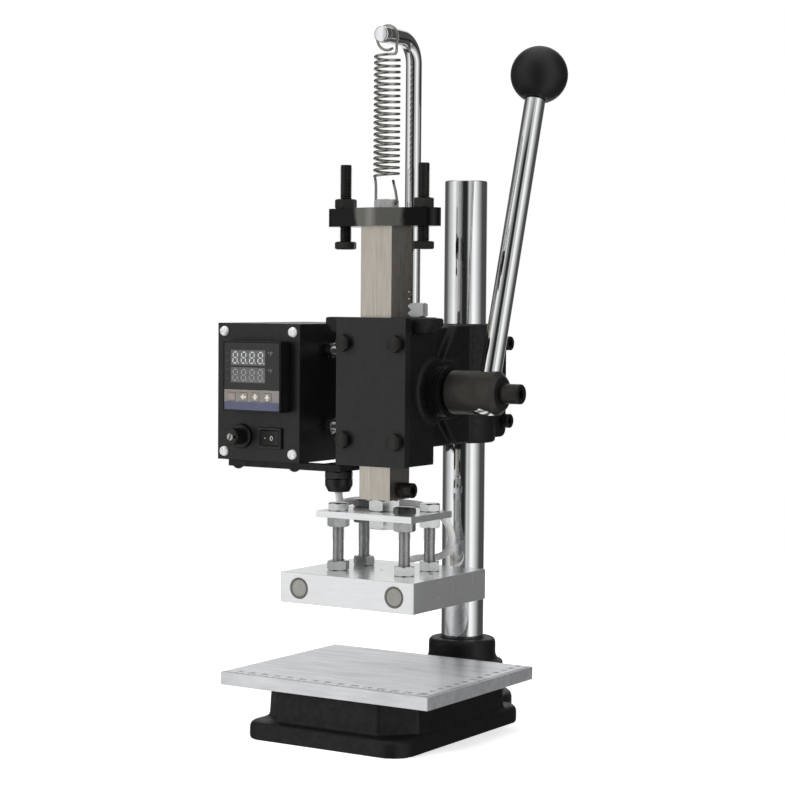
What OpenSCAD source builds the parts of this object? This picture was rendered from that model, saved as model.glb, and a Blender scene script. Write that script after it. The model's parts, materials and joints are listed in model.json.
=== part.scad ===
// Hot foil stamping press: a rack and pinion arbor press with a heated plate.
// Millimetres. +Z is up, the front faces -Y, the origin is on the press axis under the base.

/* [Base] */
// Width of the base flange, side to side
base_w = 123.6; // [114:0.4:150]
// Depth of the base flange, front to back
base_d = 159; // [150:1:180]
// How far the middle of the base lies behind the press axis
base_shift = 4; // [0:1:8]
// Height of the base up to the seat of the table
base_h = 33; // [30:1:45]
// Height of the flange round the base
flange_h = 11.5; // [8:0.5:16]
// Corner radius of the flange
flange_r = 15; // [10:1:20]

/* [Table] */
// Width of the work table
table_w = 160; // [130:1:200]
// Depth of the work table
table_d = 135; // [120:1:138]
// Thickness of the work table
table_t = 8.6; // [7:0.2:14]
// Open height between the work table and the heating plate, ram up
daylight = 45.4; // [45:0.2:70]

/* [Column] */
// Diameter of the column
column_d = 30; // [26:0.5:34]
// Height of the column's top above the work table
column_rise = 328.8; // [320:0.4:400]
// Distance from the press axis to the axis of the column
throat = 103.5; // [100:0.5:120]
// Diameter of the collar that holds the column
collar_d = 47.4; // [44:0.2:54]
// Height of the collar over the base
collar_h = 16; // [13:1:24]

/* [Head] */
// Height of the head casting
head_h = 98; // [94:0.5:110]
// Width of the ram guide block
guide_w = 49; // [46:0.5:54]
// Width of the front cover
cover_w = 54.2; // [50:0.2:60]
// Thickness of the front cover
cover_t = 6; // [4:0.5:9]
// Outer diameter of the clamp sleeve on the column
sleeve_d = 44; // [41:0.5:50]
// Radius of the round pinion housing
housing_r = 21.7; // [20.5:0.1:23]
// Half width over the stop ears
ear_x = 42.5; // [40:0.5:48]

/* [Ram] */
// Side of the square ram
ram_w = 24; // [22:0.2:26]
// Length of the ram
ram_l = 180.5; // [176:0.5:210]
// Length of the ram that shows under the head casting
ram_below = 22.5; // [18:0.5:30]
// Module of the rack and the pinion
rack_module = 1.5; // [1.4:0.05:1.55]
// Half length of the stop plate
stop_x = 42.5; // [40:0.5:48]
// Thickness of the stop plate
stop_t = 12; // [9:0.5:14]

/* [Heating plate] */
// Width of the heating plate
plate_w = 104; // [94:1:120]
// Depth of the heating plate
plate_d = 91; // [86:1:105]
// Thickness of the heating plate
plate_t = 20.1; // [18:0.1:26]
// Open height between the heating plate and the upper plate
level_gap = 35.4; // [32:0.2:44]
// Width of the upper plate
upper_w = 74.4; // [70:0.4:84]
// Depth of the upper plate
upper_d = 51; // [48:0.5:60]
// Thickness of the upper plate
upper_t = 4.3; // [3.5:0.1:6]
// Diameter of the heater cartridges
cartridge_d = 12; // [10:0.1:12.6]

/* [Lever] */
// Diameter of the lever rod
lever_d = 14.3; // [10:0.1:15]
// Distance from the pinion axis to the middle of the ball
lever_l = 223.6; // [180:0.4:240]
// Lean of the lever behind the upright when the ram is up
lever_lean = 17.2; // [5:0.1:20]
// Diameter of the ball knob
ball_d = 39; // [32:0.2:44]
// Diameter of the lever hub
hub_d = 29; // [27:0.2:33]
// Length of the lever hub
hub_l = 39.7; // [38:0.1:46]

/* [Return spring] */
// Outer diameter of the spring
spring_d = 18; // [16.4:0.1:19]
// Diameter of the spring wire
wire_d = 1.8; // [1.4:0.1:2]
// Whole turns of the spring
spring_turns = 20; // [14:1:20]
// Diameter of the bent rod
rod_d = 10.8; // [9:0.1:11]
// Height of the bent rod's arm over the stop plate
rod_arm_rise = 113.7; // [108:0.1:130]

/* [Control box] */
// Width of the control box
box_w = 68.3; // [66:0.1:80]
// Depth of the control box
box_d = 104; // [98:1:130]
// Height of the control box
box_h = 93.6; // [90:0.1:110]
// Wall of the control box
box_wall = 1.5; // [1:0.1:2]
// Side of the square controller bezel
bezel_w = 48; // [46:0.5:50]
// How far the controller bezel stands out of the panel
bezel_out = 10; // [6:0.5:12]

/* [Hidden] */
$fn = 64;

// Clearances and small shared sizes
slide_gap = 0.1;
turn_gap = 0.05;
seat_gap = 0.3;
thread_gap = 0.05;
loose_gap = 0.2;
over = 1;
thin = 0.01;
hex_bevel_share = 0.93;
bar_chamfer = 0.8;

// Metric fasteners: shank diameter, width across flats and head height
m4_d = 4;
m4_head_d = 7.4;
m4_head_h = 2.2;
m6_d = 6;
m6_flats = 10;
m6_head_h = 4;
m6_nut_h = 5;
m6_socket_d = 10;
m6_socket_h = 6;
m6_key = 5;
m8_d = 8;
m8_flats = 13;
m8_head_h = 5.2;
m8_nut_h = 6.5;
m8_key = 6;
m12_d = 12;
m12_flats = 19;
m12_head_h = 7.5;
spigot_nut_h = 8;

// Heights that follow from the driving sizes
table_top = base_h + table_t;
plate_z = table_top + daylight;
plate_top = plate_z + plate_t;
upper_z = plate_top + level_gap;
upper_top = upper_z + upper_t;
ram_z = upper_top + spigot_nut_h;
ram_top = ram_z + ram_l;
stop_top = ram_top + stop_t;
head_z = ram_z + ram_below;
head_top = head_z + head_h;
pinion_z = head_z + head_h / 2;
column_top = table_top + column_rise;
rod_arm_z = stop_top + rod_arm_rise;

// Base and table
body_inset = 3.3;
body_front = 8.5;
body_back = 13.5;
body_corner = 19;
body_draft = 1.2;
flange_round = 4;
body_round = 1.5;
round_steps = 4;
tongue_r = 29;
tongue_flange_r = 35.5;
column_floor = 4;
collar_round = 3;
collar_fillet = 5;
table_shift = 6;
table_screw_x = 42;
table_screw_y = 45;
table_screw_l = 20;
table_screw_in = 5;
collar_screw_l = 8.2;
table_screw_z = base_h + table_screw_in - table_screw_l;

// Rack and pinion
pinion_teeth = 16;
pressure_angle = 20;
backlash = 0.2;
addendum_share = 0.85;
gear_root_share = 1.25;
gear_tip_gap = 0.3;
flank_steps = 4;
spaces_below = 3;
spaces_above = 14;
pitch_r = rack_module * pinion_teeth / 2;
rack_pitch = PI * rack_module;
rack_add = rack_module * addendum_share;
rack_ded = rack_module + gear_tip_gap;
base_circle_r = pitch_r * cos(pressure_angle);
gear_tip_r = pitch_r + rack_module;
gear_root_r = pitch_r - rack_module * gear_root_share;
pinion_y = ram_w / 2 - rack_add + pitch_r;

// Head casting
guide_half = ram_w / 2 + slide_gap;
guide_back = 23;
chamber_gap = 0.7;
chamber_r = gear_tip_r + chamber_gap;
bush_out_d = 22;
shaft_d = 16;
boss_rise = 1.5;
band_half = 20;
band_w = 46;
band_back = 52;
taper_back = 76;
taper_w = 30;
web_w = 16;
web_low = 9.5;
web_drop = 7;
gusset_w = 28;
gusset_slope = 18;
sleeve_low = 10;
sleeve_h = 83.2;
sleeve_round = 1.5;
lug_w = 30;
lug_d = 24;
lug_h = 78;
lug_r = 6;
split_w = 2.4;
sleeve_z = head_z + sleeve_low;
clamp_back = 29;
clamp_edge = 14;
ear_d = 13;
ear_front = 8.5;
ear_h = 10.5;
ear_chamfer = 5.5;
rod_y = 33;
rod_block_w = 26;
rod_block_h = 30;
rod_block_wall = 7.6;
rod_sink = 25;
rod_nut_flats = 19;
rod_nut_h = 9.8;
rod_bend_r = 16;
rod_front = 8.5;
cover_bolt_x = 20.3;
cover_bolt_edge = 17;
cover_bolt_l = 16;

// Bearing cap, hub and lever
cap_collar_d = 33.6;
cap_collar_l = 10.8;
cap_groove = 0.9;
cap_groove_count = 4;
hub_chamfer = 3.2;
hub_grip = 19;
lever_inset = 11.5;
end_screw_d = 13.2;
end_screw_l = 14.2;
lever_below = 13.6;
ball_flat_d = 16;
ball_stem_d = 8;
ball_stem_l = 15;
cap_end = guide_w / 2 + boss_rise + cap_collar_l;
hub_start = cap_end + seat_gap;
hub_end = hub_start + hub_l;
lever_x = hub_end - lever_inset;
ball_flat_drop = sqrt(pow(ball_d / 2, 2) - pow(ball_flat_d / 2, 2));

// Return spring and its anchor
anchor_flats = 14.2;
anchor_h = 6;
anchor_stud_l = 26;
anchor_gap = 0.3;
anchor_hole_gap = 0.5;
coil_low = 21;
coil_rod_gap = 13;
hook_corner = 1.6;
hook_lean_share = 0.4;
hook_rise = 15.6;
hook_from = -20;
hook_to = 300;
curl_rings = 8;
spring_sides = 6;
coil_r = (spring_d - wire_d) / 2;
coil_from = 205;
coil_to = 330 + 360 * spring_turns;
leg_x = anchor_flats / 2 + wire_d / 2 + anchor_gap;
hook_z = stop_top + anchor_h / 2;
coil_z0 = stop_top + coil_low;
coil_z1 = rod_arm_z - coil_rod_gap;
hook_mid_z = rod_arm_z + rod_d / 2 + anchor_gap - (coil_r - wire_d / 2);

// Stop bolts
stop_bolt_x = 30.5;
stop_y = 2.5;
stop_end_r = 8;
stop_mid_r = 20;
stop_bolt_l = 51;
stop_head_gap = 9.8;

// Foot of the ram and the heating plate
set_screw_rise = 6.6;
set_screw_sink = 5.8;
set_nut_h = 5;
spigot_sink = 18;
level_x = 26;
level_y = 15.7;
level_sink = 12;
cartridge_x = 37;
cartridge_l = 80;
cartridge_set = 0.3;
cartridge_head_d = 13.8;
cartridge_head_l = 3;
wire_bore_d = 6;
heater_wire_d = 3;
terminal_x = -20;
terminal_w = 18;
terminal_d = 14.5;
terminal_h = 9;
terminal_low = 0.6;
probe_d = 4.8;
probe_l = 18;
probe_in_block = 5;

// Control box
box_gap = 32;
box_drop = 0.6;
panel_t = 2;
post_d = 9.6;
post_l = 12;
panel_screw_in = 5.6;
panel_screw_d = 3;
panel_head_d = 6.9;
panel_head_h = 2.2;
stud_y = 16;
stud_rise = 25.9;
stud_sink = 9;
stud_inside = 9;
box_right = -guide_w / 2 - box_gap;
box_left = box_right - box_w;
box_front = -guide_half - cover_t;
shell_front = box_front + panel_t;
box_back = box_front + box_d;
box_z = head_z - box_drop;
box_mid_x = (box_left + box_right) / 2;

// Controller on the panel
bezel_shift = 1.3;
bezel_rise = 57.8;
bezel_mid_x = box_mid_x + bezel_shift;
bezel_z = box_z + bezel_rise;
bezel_front = box_front - bezel_out;
face_margin = 1;
face_depth = 1.2;
controller_step = 1.5;
controller_l = 60;
strip_h = 13.9;
strip_gap = 0.3;
key_w = 6.4;
key_h = 5.4;
key_pitch = 10;
key_row_shift = 1.8;
key_drop = 4.8;
key_l = 2.4;
key_travel = 0.6;
face_half = bezel_w / 2 - face_margin;
strip_top = bezel_z - face_half + strip_h;

// Fuse holder, switch, relay and glands
fuse_shift = 13.9;
fuse_rise = 16.5;
fuse_flange_d = 17;
fuse_flange_h = 2.5;
fuse_tube_d = 12;
fuse_tube_l = 34;
fuse_bore_d = 8.2;
fuse_d = 5.2;
fuse_l = 20;
fuse_cap_d = 11.4;
fuse_cap_l = 10.5;
fuse_stem_l = 10;
fuse_grip = 6;
fuse_slot_w = 1.6;
fuse_slot_l = 1.6;
fuse_x = box_mid_x - fuse_shift;
fuse_z = box_z + fuse_rise;
switch_shift = 10.65;
switch_rise = 16;
switch_w = 19.2;
switch_h = 14.4;
switch_rim = 2;
switch_body_w = 17;
switch_body_h = 12;
switch_body_l = 14;
rocker_half = 7;
rocker_h = 10.2;
rocker_nose = 3.4;
rocker_dip = 2.6;
rocker_foot = 2;
rocker_foot_half = 5.8;
rocker_gap = 0.7;
rocker_pivot = 1;
rocker_tilt = 9;
rocker_depth = 5.5;
switch_x = box_mid_x + switch_shift;
switch_z = box_z + switch_rise;
relay_w = 44;
relay_h = 23;
relay_gap = 3.4;
relay_front_gap = 4;
relay_y = stud_y + relay_front_gap;
gland_thread_d = 12.5;
gland_flats = 18;
gland_hex_h = 5.5;
gland_dome_h = 8.4;
gland_dome_d = 18.6;
gland_mouth_d = 14.4;
gland_nut_flats = 18;
gland_nut_h = 4;
relay_l = box_back - box_wall - gland_nut_h - relay_gap - relay_y;
mains_bore_d = 7.2;
mains_rise = 30;
bar_t = 4.4;
bar_w = 9.5;
bar_in = 8.5;
bar_front = 1;
leg_t = 2.8;
leg_front = 8;
leg_back = 21;
leg_above = 9;
pad_back = 5.5;
pad_w = 22;
bar_screw_l = 6.2;
bar_screw_in = 5;
bar_screw_far = 52;
lead_x = -32.4;
lead_y = -6;

// Heater lead: diameter, sides and the points of its route
lead_d = 5;
lead_sides = 8;
lead_steps = 3;
lead_route = [[-32.4, -6, 158.2], [-32.4, -5.9, 156.4], [-32.8, -4.7, 153.8], [-33.8, -2, 151.6],
    [-35.2, 2.5, 150],
    [-36.3, 8, 149.8], [-36.6, 14, 149.9], [-35.6, 20, 150], [-32.5, 25.5, 150],
    [-27, 28.6, 149.9], [-19, 28.9, 149.8], [-9, 27.4, 149.7], [1, 26.8, 149.7],
    [11, 27.8, 149], [19.8, 30, 146.3], [26.4, 32.5, 141], [29.8, 35.3, 133.8],
    [29.3, 38.5, 126], [25.3, 42.2, 119.2], [18.4, 46.3, 114.2], [9.6, 50.2, 111.2],
    [0.3, 53, 110], [-8.2, 54.2, 109], [-14.8, 54.4, 106.6], [-18.6, 54.4, 103],
    [-19.9, 54.4, 99.6], [-20, 54.4, 96.8]];
wire_right = [[37, 35, 97], [37, 42, 97], [36.8, 48, 96.9], [34.5, 52, 96.2], [29.5, 54.2, 95],
    [20, 54.8, 93.6], [8, 54.8, 92.6], [-3, 54.8, 92.1], [-10.8, 54.8, 92]];
wire_left = [[-37, 35, 97], [-37, 42, 97], [-37, 47.5, 96.8], [-36.4, 51.2, 95.6],
    [-34.4, 53.7, 93.6], [-32, 54.6, 92.5], [-29.2, 54.6, 92.4]];

// Plain shapes used by several pieces
module along_x() rotate([0, 90, 0]) children();
module along_y() rotate([-90, 0, 0]) children();
module side_profile(w) translate([-w / 2, 0, 0]) rotate([90, 0, 90]) linear_extrude(w) children();
module at_pinion(x) translate([x, pinion_y, pinion_z]) along_x() children();

module round_rect(w, d, r) {
    for (sx = [-1, 1], sy = [-1, 1])
        translate([sx * (w / 2 - r), sy * (d / 2 - r)]) circle(r);
    square([w, d - 2 * r], center = true);
    square([w - 2 * r, d], center = true);
}

// A convex slab whose upper edge is rounded
module soft_slab(h, r) {
    hull() {
        linear_extrude(h - r) children();
        for (k = [1 : round_steps])
            translate([0, 0, h - r + (r - thin) * sin(90 * k / round_steps)])
                linear_extrude(thin) offset(delta = -r * (1 - cos(90 * k / round_steps))) children();
    }
}

module bar(d, l, c = bar_chamfer)
    rotate_extrude() polygon([[0, 0], [d / 2 - c, 0], [d / 2, c], [d / 2, l - c], [d / 2 - c, l], [0, l]]);

// A hexagon with its corners turned down at both ends
module hex_bar(flats, h) {
    corner = flats / cos(30) / 2;
    edge = flats / 2 * hex_bevel_share;
    drop = (corner - edge) * tan(30);
    intersection() {
        cylinder(h = h, r = corner, $fn = 6);
        rotate_extrude() polygon([[0, 0], [edge, 0], [corner, drop], [corner, h - drop], [edge, h], [0, h]]);
    }
}

module nut(flats, h, d) difference() {
    hex_bar(flats, h);
    translate([0, 0, -over]) cylinder(h = h + 2 * over, d = d + 2 * thread_gap);
}

// Screws stand on z = 0: the head above, the shank below
module hex_bolt(d, flats, head_h, l) {
    hex_bar(flats, head_h);
    translate([0, 0, -l]) bar(d, l + bar_chamfer);
}

module socket_screw(d, head_d, head_h, key, l) difference() {
    union() {
        bar(head_d, head_h, bar_chamfer / 2);
        translate([0, 0, -l]) bar(d, l + bar_chamfer);
    }
    translate([0, 0, head_h / 2]) cylinder(h = head_h, d = key / cos(30), $fn = 6);
}

module pan_screw(d, head_d, head_h, l) {
    dome_r = (pow(head_d / 2, 2) + pow(head_h, 2)) / (2 * head_h);
    intersection() {
        cylinder(h = head_h, d = head_d);
        translate([0, 0, head_h - dome_r]) sphere(dome_r);
    }
    translate([0, 0, -l]) cylinder(h = l + head_h / 2, d = d);
}

// A tube swept along points, with frames carried from ring to ring
function unit(v) = v / norm(v);
function heading(p, i) = unit(p[min(i + 1, len(p) - 1)] - p[max(i - 1, 0)]);
function first_side(t) = unit(cross(t, abs(t[2]) < 0.9 ? [0, 0, 1] : [0, 1, 0]));
function carry(n, t) = unit(n - (n * t) * t);
function sides_of(p) = [for (i = 0, n = first_side(heading(p, 0)); i < len(p);
    n = carry(n, heading(p, min(i + 1, len(p) - 1))), i = i + 1) n];
module tube(p, r, s) {
    n = sides_of(p);
    last = (len(p) - 1) * s;
    rings = [for (i = [0 : len(p) - 1]) let (t = heading(p, i), a = n[i], b = cross(t, a))
        for (k = [0 : s - 1]) p[i] + r * (cos(360 * k / s) * a + sin(360 * k / s) * b)];
    walls = [for (i = [0 : len(p) - 2], k = [0 : s - 1]) let (a = i * s + k, b = i * s + (k + 1) % s)
        each [[a, b + s, b], [a, a + s, b + s]]];
    foot = [for (k = [1 : s - 2]) [0, k, k + 1]];
    top = [for (k = [1 : s - 2]) [last, last + k + 1, last + k]];
    polyhedron(points = rings, faces = concat(walls, foot, top));
}

// A smooth curve through hand chosen points
function blend4(a, b, c, d, t) = 0.5 * (2 * b + (c - a) * t + (2 * a - 5 * b + 4 * c - d) * t * t
    + (3 * b - a - 3 * c + d) * t * t * t);
function smooth(p, steps) = concat([for (i = [0 : len(p) - 2], k = [0 : steps - 1])
    blend4(p[max(i - 1, 0)], p[i], p[i + 1], p[min(i + 2, len(p) - 1)], k / steps)], [p[len(p) - 1]]);
function bezier(a, b, c, d, steps) = [for (k = [0 : steps]) let (t = k / steps, u = 1 - t)
    u * u * u * a + 3 * u * u * t * b + 3 * u * t * t * c + t * t * t * d];

// Base group
module body_plan() {
    half = base_w / 2 - body_inset;
    front = base_shift - base_d / 2 + body_front;
    back = base_shift + base_d / 2 - body_back;
    polygon([[-half, front + body_corner], [-half + body_corner, front], [half - body_corner, front],
        [half, front + body_corner], [half, back - body_corner / 2], [half - body_corner / 2, back],
        [-half + body_corner / 2, back], [-half, back - body_corner / 2]]);
}

module tongue_plan(r) {
    translate([0, throat]) circle(r, $fn = 48);
    translate([-r, 0]) square([2 * r, throat]);
}

module collar_profile() {
    r = collar_d / 2;
    polygon(concat([[0, 0], [r + collar_fillet, 0]],
        [for (a = [0 : 15 : 75]) [r + collar_fillet * (1 - sin(a + 15)), collar_fillet * (1 - cos(a + 15))]],
        [for (a = [0 : 15 : 90]) [r - collar_round * (1 - cos(a)), collar_h - collar_round * (1 - sin(a))]],
        [[0, collar_h]]));
}

module base_casting() color("#2b2b2c") difference() {
    union() {
        translate([0, base_shift, 0])
            soft_slab(flange_h, flange_round) round_rect(base_w, base_d, flange_r, $fn = 32);
        soft_slab(flange_h, flange_round) tongue_plan(tongue_flange_r);
        hull() {
            linear_extrude(flange_h) body_plan();
            translate([0, 0, base_h - thin]) linear_extrude(thin) offset(delta = -body_draft) body_plan();
        }
        soft_slab(base_h, body_round) tongue_plan(tongue_r);
        translate([0, throat, base_h]) rotate_extrude() collar_profile();
    }
    translate([0, throat, column_floor]) cylinder(h = base_h + collar_h, d = column_d + 2 * thread_gap);
    for (sx = [-1, 1], sy = [-1, 1]) translate([sx * table_screw_x, sy * table_screw_y - table_shift, 0]) {
        translate([0, 0, -over]) cylinder(h = base_h + 2 * over, d = m6_d + 2 * thread_gap);
        translate([0, 0, -over]) cylinder(h = table_screw_z + over, d = m6_socket_d + 2 * loose_gap);
    }
    translate([0, throat + column_d / 2 - over, base_h + collar_h / 2])
        along_y() cylinder(h = collar_d, d = m8_d + 2 * thread_gap);
}

module table_screws() color("#1d1d1f")
    for (sx = [-1, 1], sy = [-1, 1])
        translate([sx * table_screw_x, sy * table_screw_y - table_shift, table_screw_z]) mirror([0, 0, 1])
            socket_screw(m6_d, m6_socket_d, m6_socket_h, m6_key, table_screw_l);

module work_table() color("#c9cbcd") difference() {
    translate([-table_w / 2, -table_shift - table_d / 2, base_h]) cube([table_w, table_d, table_t]);
    for (sx = [-1, 1], sy = [-1, 1])
        translate([sx * table_screw_x, sy * table_screw_y - table_shift, base_h - over])
            cylinder(h = over + table_screw_in + loose_gap, d = m6_d + 2 * thread_gap);
}

module column() color("#dfe2e5")
    translate([0, throat, column_floor]) bar(column_d, column_top - column_floor);

module column_set_screw() color("#1d1d1f")
    translate([0, throat + column_d / 2 + thread_gap, base_h + collar_h / 2]) along_y() difference() {
        bar(m8_d, collar_screw_l);
        translate([0, 0, collar_screw_l / 2]) cylinder(h = collar_screw_l, d = m8_key / cos(30), $fn = 6);
    }

// Head casting
module ears() {
    step = ear_h - ear_chamfer;
    translate([0, ear_d - ear_front, 0]) rotate([90, 0, 0]) linear_extrude(ear_d)
        polygon([[-ear_x, head_top], [ear_x, head_top], [ear_x, head_top - step],
            [ear_x - ear_chamfer, head_top - ear_h], [ear_chamfer - ear_x, head_top - ear_h],
            [-ear_x, head_top - step]]);
}

module pinion_housing() {
    translate([-guide_w / 2, 0, 0]) at_pinion(0) cylinder(h = guide_w + boss_rise, r = housing_r);
    translate([-band_w / 2, pinion_y, pinion_z - band_half])
        cube([band_w, band_back - pinion_y, 2 * band_half]);
    translate([0, 0, pinion_z - band_half]) linear_extrude(2 * band_half)
        polygon([[-band_w / 2, band_back - over], [band_w / 2, band_back - over],
            [taper_w / 2, taper_back], [-taper_w / 2, taper_back]]);
}

module web() {
    side_profile(web_w) polygon([[guide_back - over, head_z + web_low], [throat, head_z + web_low],
        [throat, head_top - web_drop], [guide_back - over, head_top - web_drop]]);
    side_profile(gusset_w) polygon([[band_back - over, pinion_z - band_half + over],
        [band_back - over + gusset_slope, sleeve_z + over], [throat, sleeve_z + over],
        [throat, sleeve_z + sleeve_h - over],
        [band_back - over + gusset_slope, sleeve_z + sleeve_h - over],
        [band_back - over, pinion_z + band_half - over]]);
    translate([-rod_block_w / 2, guide_back - over, head_top - rod_block_h])
        cube([rod_block_w, rod_y + rod_d / 2 + rod_block_wall - guide_back + over, rod_block_h]);
}

module clamp_lugs() {
    mid_y = throat + sleeve_d / 2 - lug_r / 2;
    translate([0, mid_y, sleeve_z + sleeve_h / 2]) side_profile(lug_w)
        round_rect(lug_d + lug_r, lug_h, lug_r, $fn = 32);
}

module clamp_places() for (z = [sleeve_z + clamp_edge, sleeve_z + sleeve_h - clamp_edge])
    translate([lug_w / 2, throat + clamp_back, z]) along_x() children();

module cover_places() for (sx = [-1, 1], z = [head_z + cover_bolt_edge, head_top - cover_bolt_edge])
    translate([sx * cover_bolt_x, -guide_half - cover_t, z]) along_y() mirror([0, 0, 1]) children();

module stud_places(x) for (sz = [-1, 1])
    translate([x, stud_y, pinion_z + sz * stud_rise]) along_x() children();

module head_casting() color("#262628") difference() {
    union() {
        translate([-guide_w / 2, -guide_half, head_z]) cube([guide_w, guide_half + guide_back, head_h]);
        ears();
        pinion_housing();
        web();
        translate([0, throat, sleeve_z]) bar(sleeve_d, sleeve_h, sleeve_round);
        clamp_lugs();
    }
    translate([-guide_half, -guide_half - over, head_z - over])
        cube([2 * guide_half, 2 * guide_half + over, head_h + 2 * over]);
    translate([-ram_w / 2 - chamber_gap, 0, 0]) at_pinion(0) cylinder(h = guide_w, r = chamber_r);
    translate([-guide_w, 0, 0]) at_pinion(0) cylinder(h = guide_w, d = bush_out_d + 2 * thread_gap);
    translate([0, throat, head_z - over]) cylinder(h = head_h + 2 * over, d = column_d + 2 * turn_gap);
    translate([-split_w / 2, throat, head_z - over]) cube([split_w, sleeve_d, head_h + 2 * over]);
    clamp_places() translate([0, 0, -lug_w - over]) cylinder(h = lug_w + 2 * over, d = m6_d + 2 * thread_gap);
    cover_places() translate([0, 0, -cover_bolt_l - over])
        cylinder(h = cover_bolt_l + 2 * over, d = m6_d + 2 * thread_gap);
    stud_places(-guide_w / 2 - over) cylinder(h = stud_sink + over + loose_gap, d = m6_d + 2 * thread_gap);
    translate([0, rod_y, head_top - rod_sink - loose_gap])
        cylinder(h = rod_sink + over + loose_gap, d = rod_d + 2 * thread_gap);
}

module front_cover() color("#3c3e42") difference() {
    translate([-cover_w / 2, -guide_half - cover_t, head_z]) cube([cover_w, cover_t, head_h]);
    cover_places() translate([0, 0, -cover_t - over])
        cylinder(h = cover_t + 2 * over, d = m6_d + 2 * thread_gap);
}

module cover_bolts() color("#1f1f21") cover_places() hex_bolt(m6_d, m6_flats, m6_head_h, cover_bolt_l);

module clamp_screws() color("#1d1d1f")
    clamp_places() socket_screw(m6_d, m6_socket_d, m6_socket_h, m6_key, lug_w - over);

// Bearings of the pinion
module bearing_cap() color("#2a2a2c") {
    start = ram_w / 2 + chamber_gap;
    flange = guide_w / 2 + boss_rise;
    step = cap_collar_l / (2 * cap_groove_count + 1);
    at_pinion(0) difference() {
        union() {
            translate([0, 0, start]) cylinder(h = flange - start, r = chamber_r - thread_gap);
            for (k = [0 : 2 * cap_groove_count])
                translate([0, 0, flange + k * step])
                    cylinder(h = step, d = cap_collar_d - (k % 2) * 2 * cap_groove);
        }
        cylinder(h = cap_end + over, d = shaft_d + 2 * turn_gap);
    }
}

module pinion_bush() color("#9a7440") at_pinion(-guide_w / 2) difference() {
    cylinder(h = guide_w / 2 - ram_w / 2 - chamber_gap, d = bush_out_d);
    translate([0, 0, -over]) cylinder(h = guide_w, d = shaft_d + 2 * turn_gap);
}

// Return spring and its rod
module spring_rod() color("#d9dcdf") {
    top = rod_arm_z - rod_bend_r;
    translate([0, rod_y, head_top - rod_sink]) bar(rod_d, top - head_top + rod_sink + bar_chamfer);
    translate([0, rod_y - rod_bend_r, top]) rotate([0, -90, 180]) rotate([0, 0, -90])
        rotate_extrude(angle = 90) translate([rod_bend_r, 0]) circle(d = rod_d);
    translate([0, -rod_front, rod_arm_z]) along_y()
        bar(rod_d, rod_y - rod_bend_r + rod_front + bar_chamfer);
}

module spring_rod_nut() color("#8d9194") translate([0, rod_y, head_top]) nut(rod_nut_flats, rod_nut_h, rod_d);

function coil_point(a) = [coil_r * cos(a), coil_r * sin(a),
    coil_z0 + (coil_z1 - coil_z0) * (a - coil_from) / (coil_to - coil_from)];
function coil_way(a) = [-sin(a), cos(a), 0];

function ring_point(a) = [coil_r * cos(a), 0, hook_mid_z + coil_r * sin(a)];

// The wire: free end, lower hook through the anchor, coil, and a ring that hangs on the rod
function spring_path() = let (
    foot = coil_point(coil_from),
    head = coil_point(coil_to),
    lean = coil_r * hook_lean_share,
    lower = [for (a = [0 : 30 : 90])
        [leg_x - hook_corner * (1 - cos(a)), 0, hook_z + hook_corner * (1 - sin(a))]],
    rise = [for (a = [0 : 30 : 90])
        [-leg_x + hook_corner * (1 - sin(a)), 0, hook_z + hook_corner * (1 - cos(a))]],
    low_bend = bezier([-leg_x, 0, foot[2] - coil_r], [-leg_x, 0, foot[2] - coil_r / 3],
        foot - coil_way(coil_from) * coil_r / 3, foot - coil_way(coil_from) * thin, 5),
    curls = [for (k = [1 : curl_rings * (spring_turns + 1)])
        let (a = coil_from + 360 / curl_rings * k) if (a < coil_to - 180 / curl_rings) coil_point(a)],
    ring_way = [-sin(hook_from), 0, cos(hook_from)],
    top_bend = bezier(head, head + coil_way(coil_to) * coil_r / 2,
        ring_point(hook_from) - ring_way * coil_r / 2, ring_point(hook_from) - ring_way * thin, 5),
    ring = [for (a = [hook_from : 20 : hook_to]) ring_point(a)])
    concat([[leg_x - lean, 0, hook_z + hook_rise], [leg_x - lean / 3, 0, hook_z + hook_rise / 2]],
        lower, rise, low_bend, curls, top_bend, ring);

// Least gap of the wire to itself, measured on its points
function path_gap(p, skip) = min([for (i = [0 : len(p) - 1 - skip], j = [i + skip : len(p) - 1])
    norm(p[i] - p[j])]) - wire_d;
echo(spring_least_gap = path_gap(spring_path(), 5));

module tension_spring() color("#a9a696") tube(spring_path(), wire_d / 2, spring_sides);

// Control box
module box_studs() color("#8d9194")
    stud_places(box_right - stud_inside) bar(m6_d, box_gap + stud_inside + stud_sink);

module box_nuts() color("#c9ccce") {
    stud_places(box_right - box_wall - m6_nut_h) nut(m6_flats, m6_nut_h, m6_d);
    stud_places(box_right) nut(m6_flats, m6_nut_h, m6_d);
    stud_places(-guide_w / 2 - leg_t - m6_nut_h) nut(m6_flats, m6_nut_h, m6_d);
}

module panel_places(y) for (x = [box_left + panel_screw_in, box_right - panel_screw_in],
    z = [box_z + panel_screw_in, box_z + box_h - panel_screw_in])
    translate([x, y, z]) along_y() mirror([0, 0, 1]) children();

module bar_screw_places() for (x = [box_left + bar_in + bar_screw_in, box_left + bar_in + bar_screw_far])
    translate([x, box_front + bar_front + bar_w / 2, box_z - bar_t]) mirror([0, 0, 1]) children();

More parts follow.
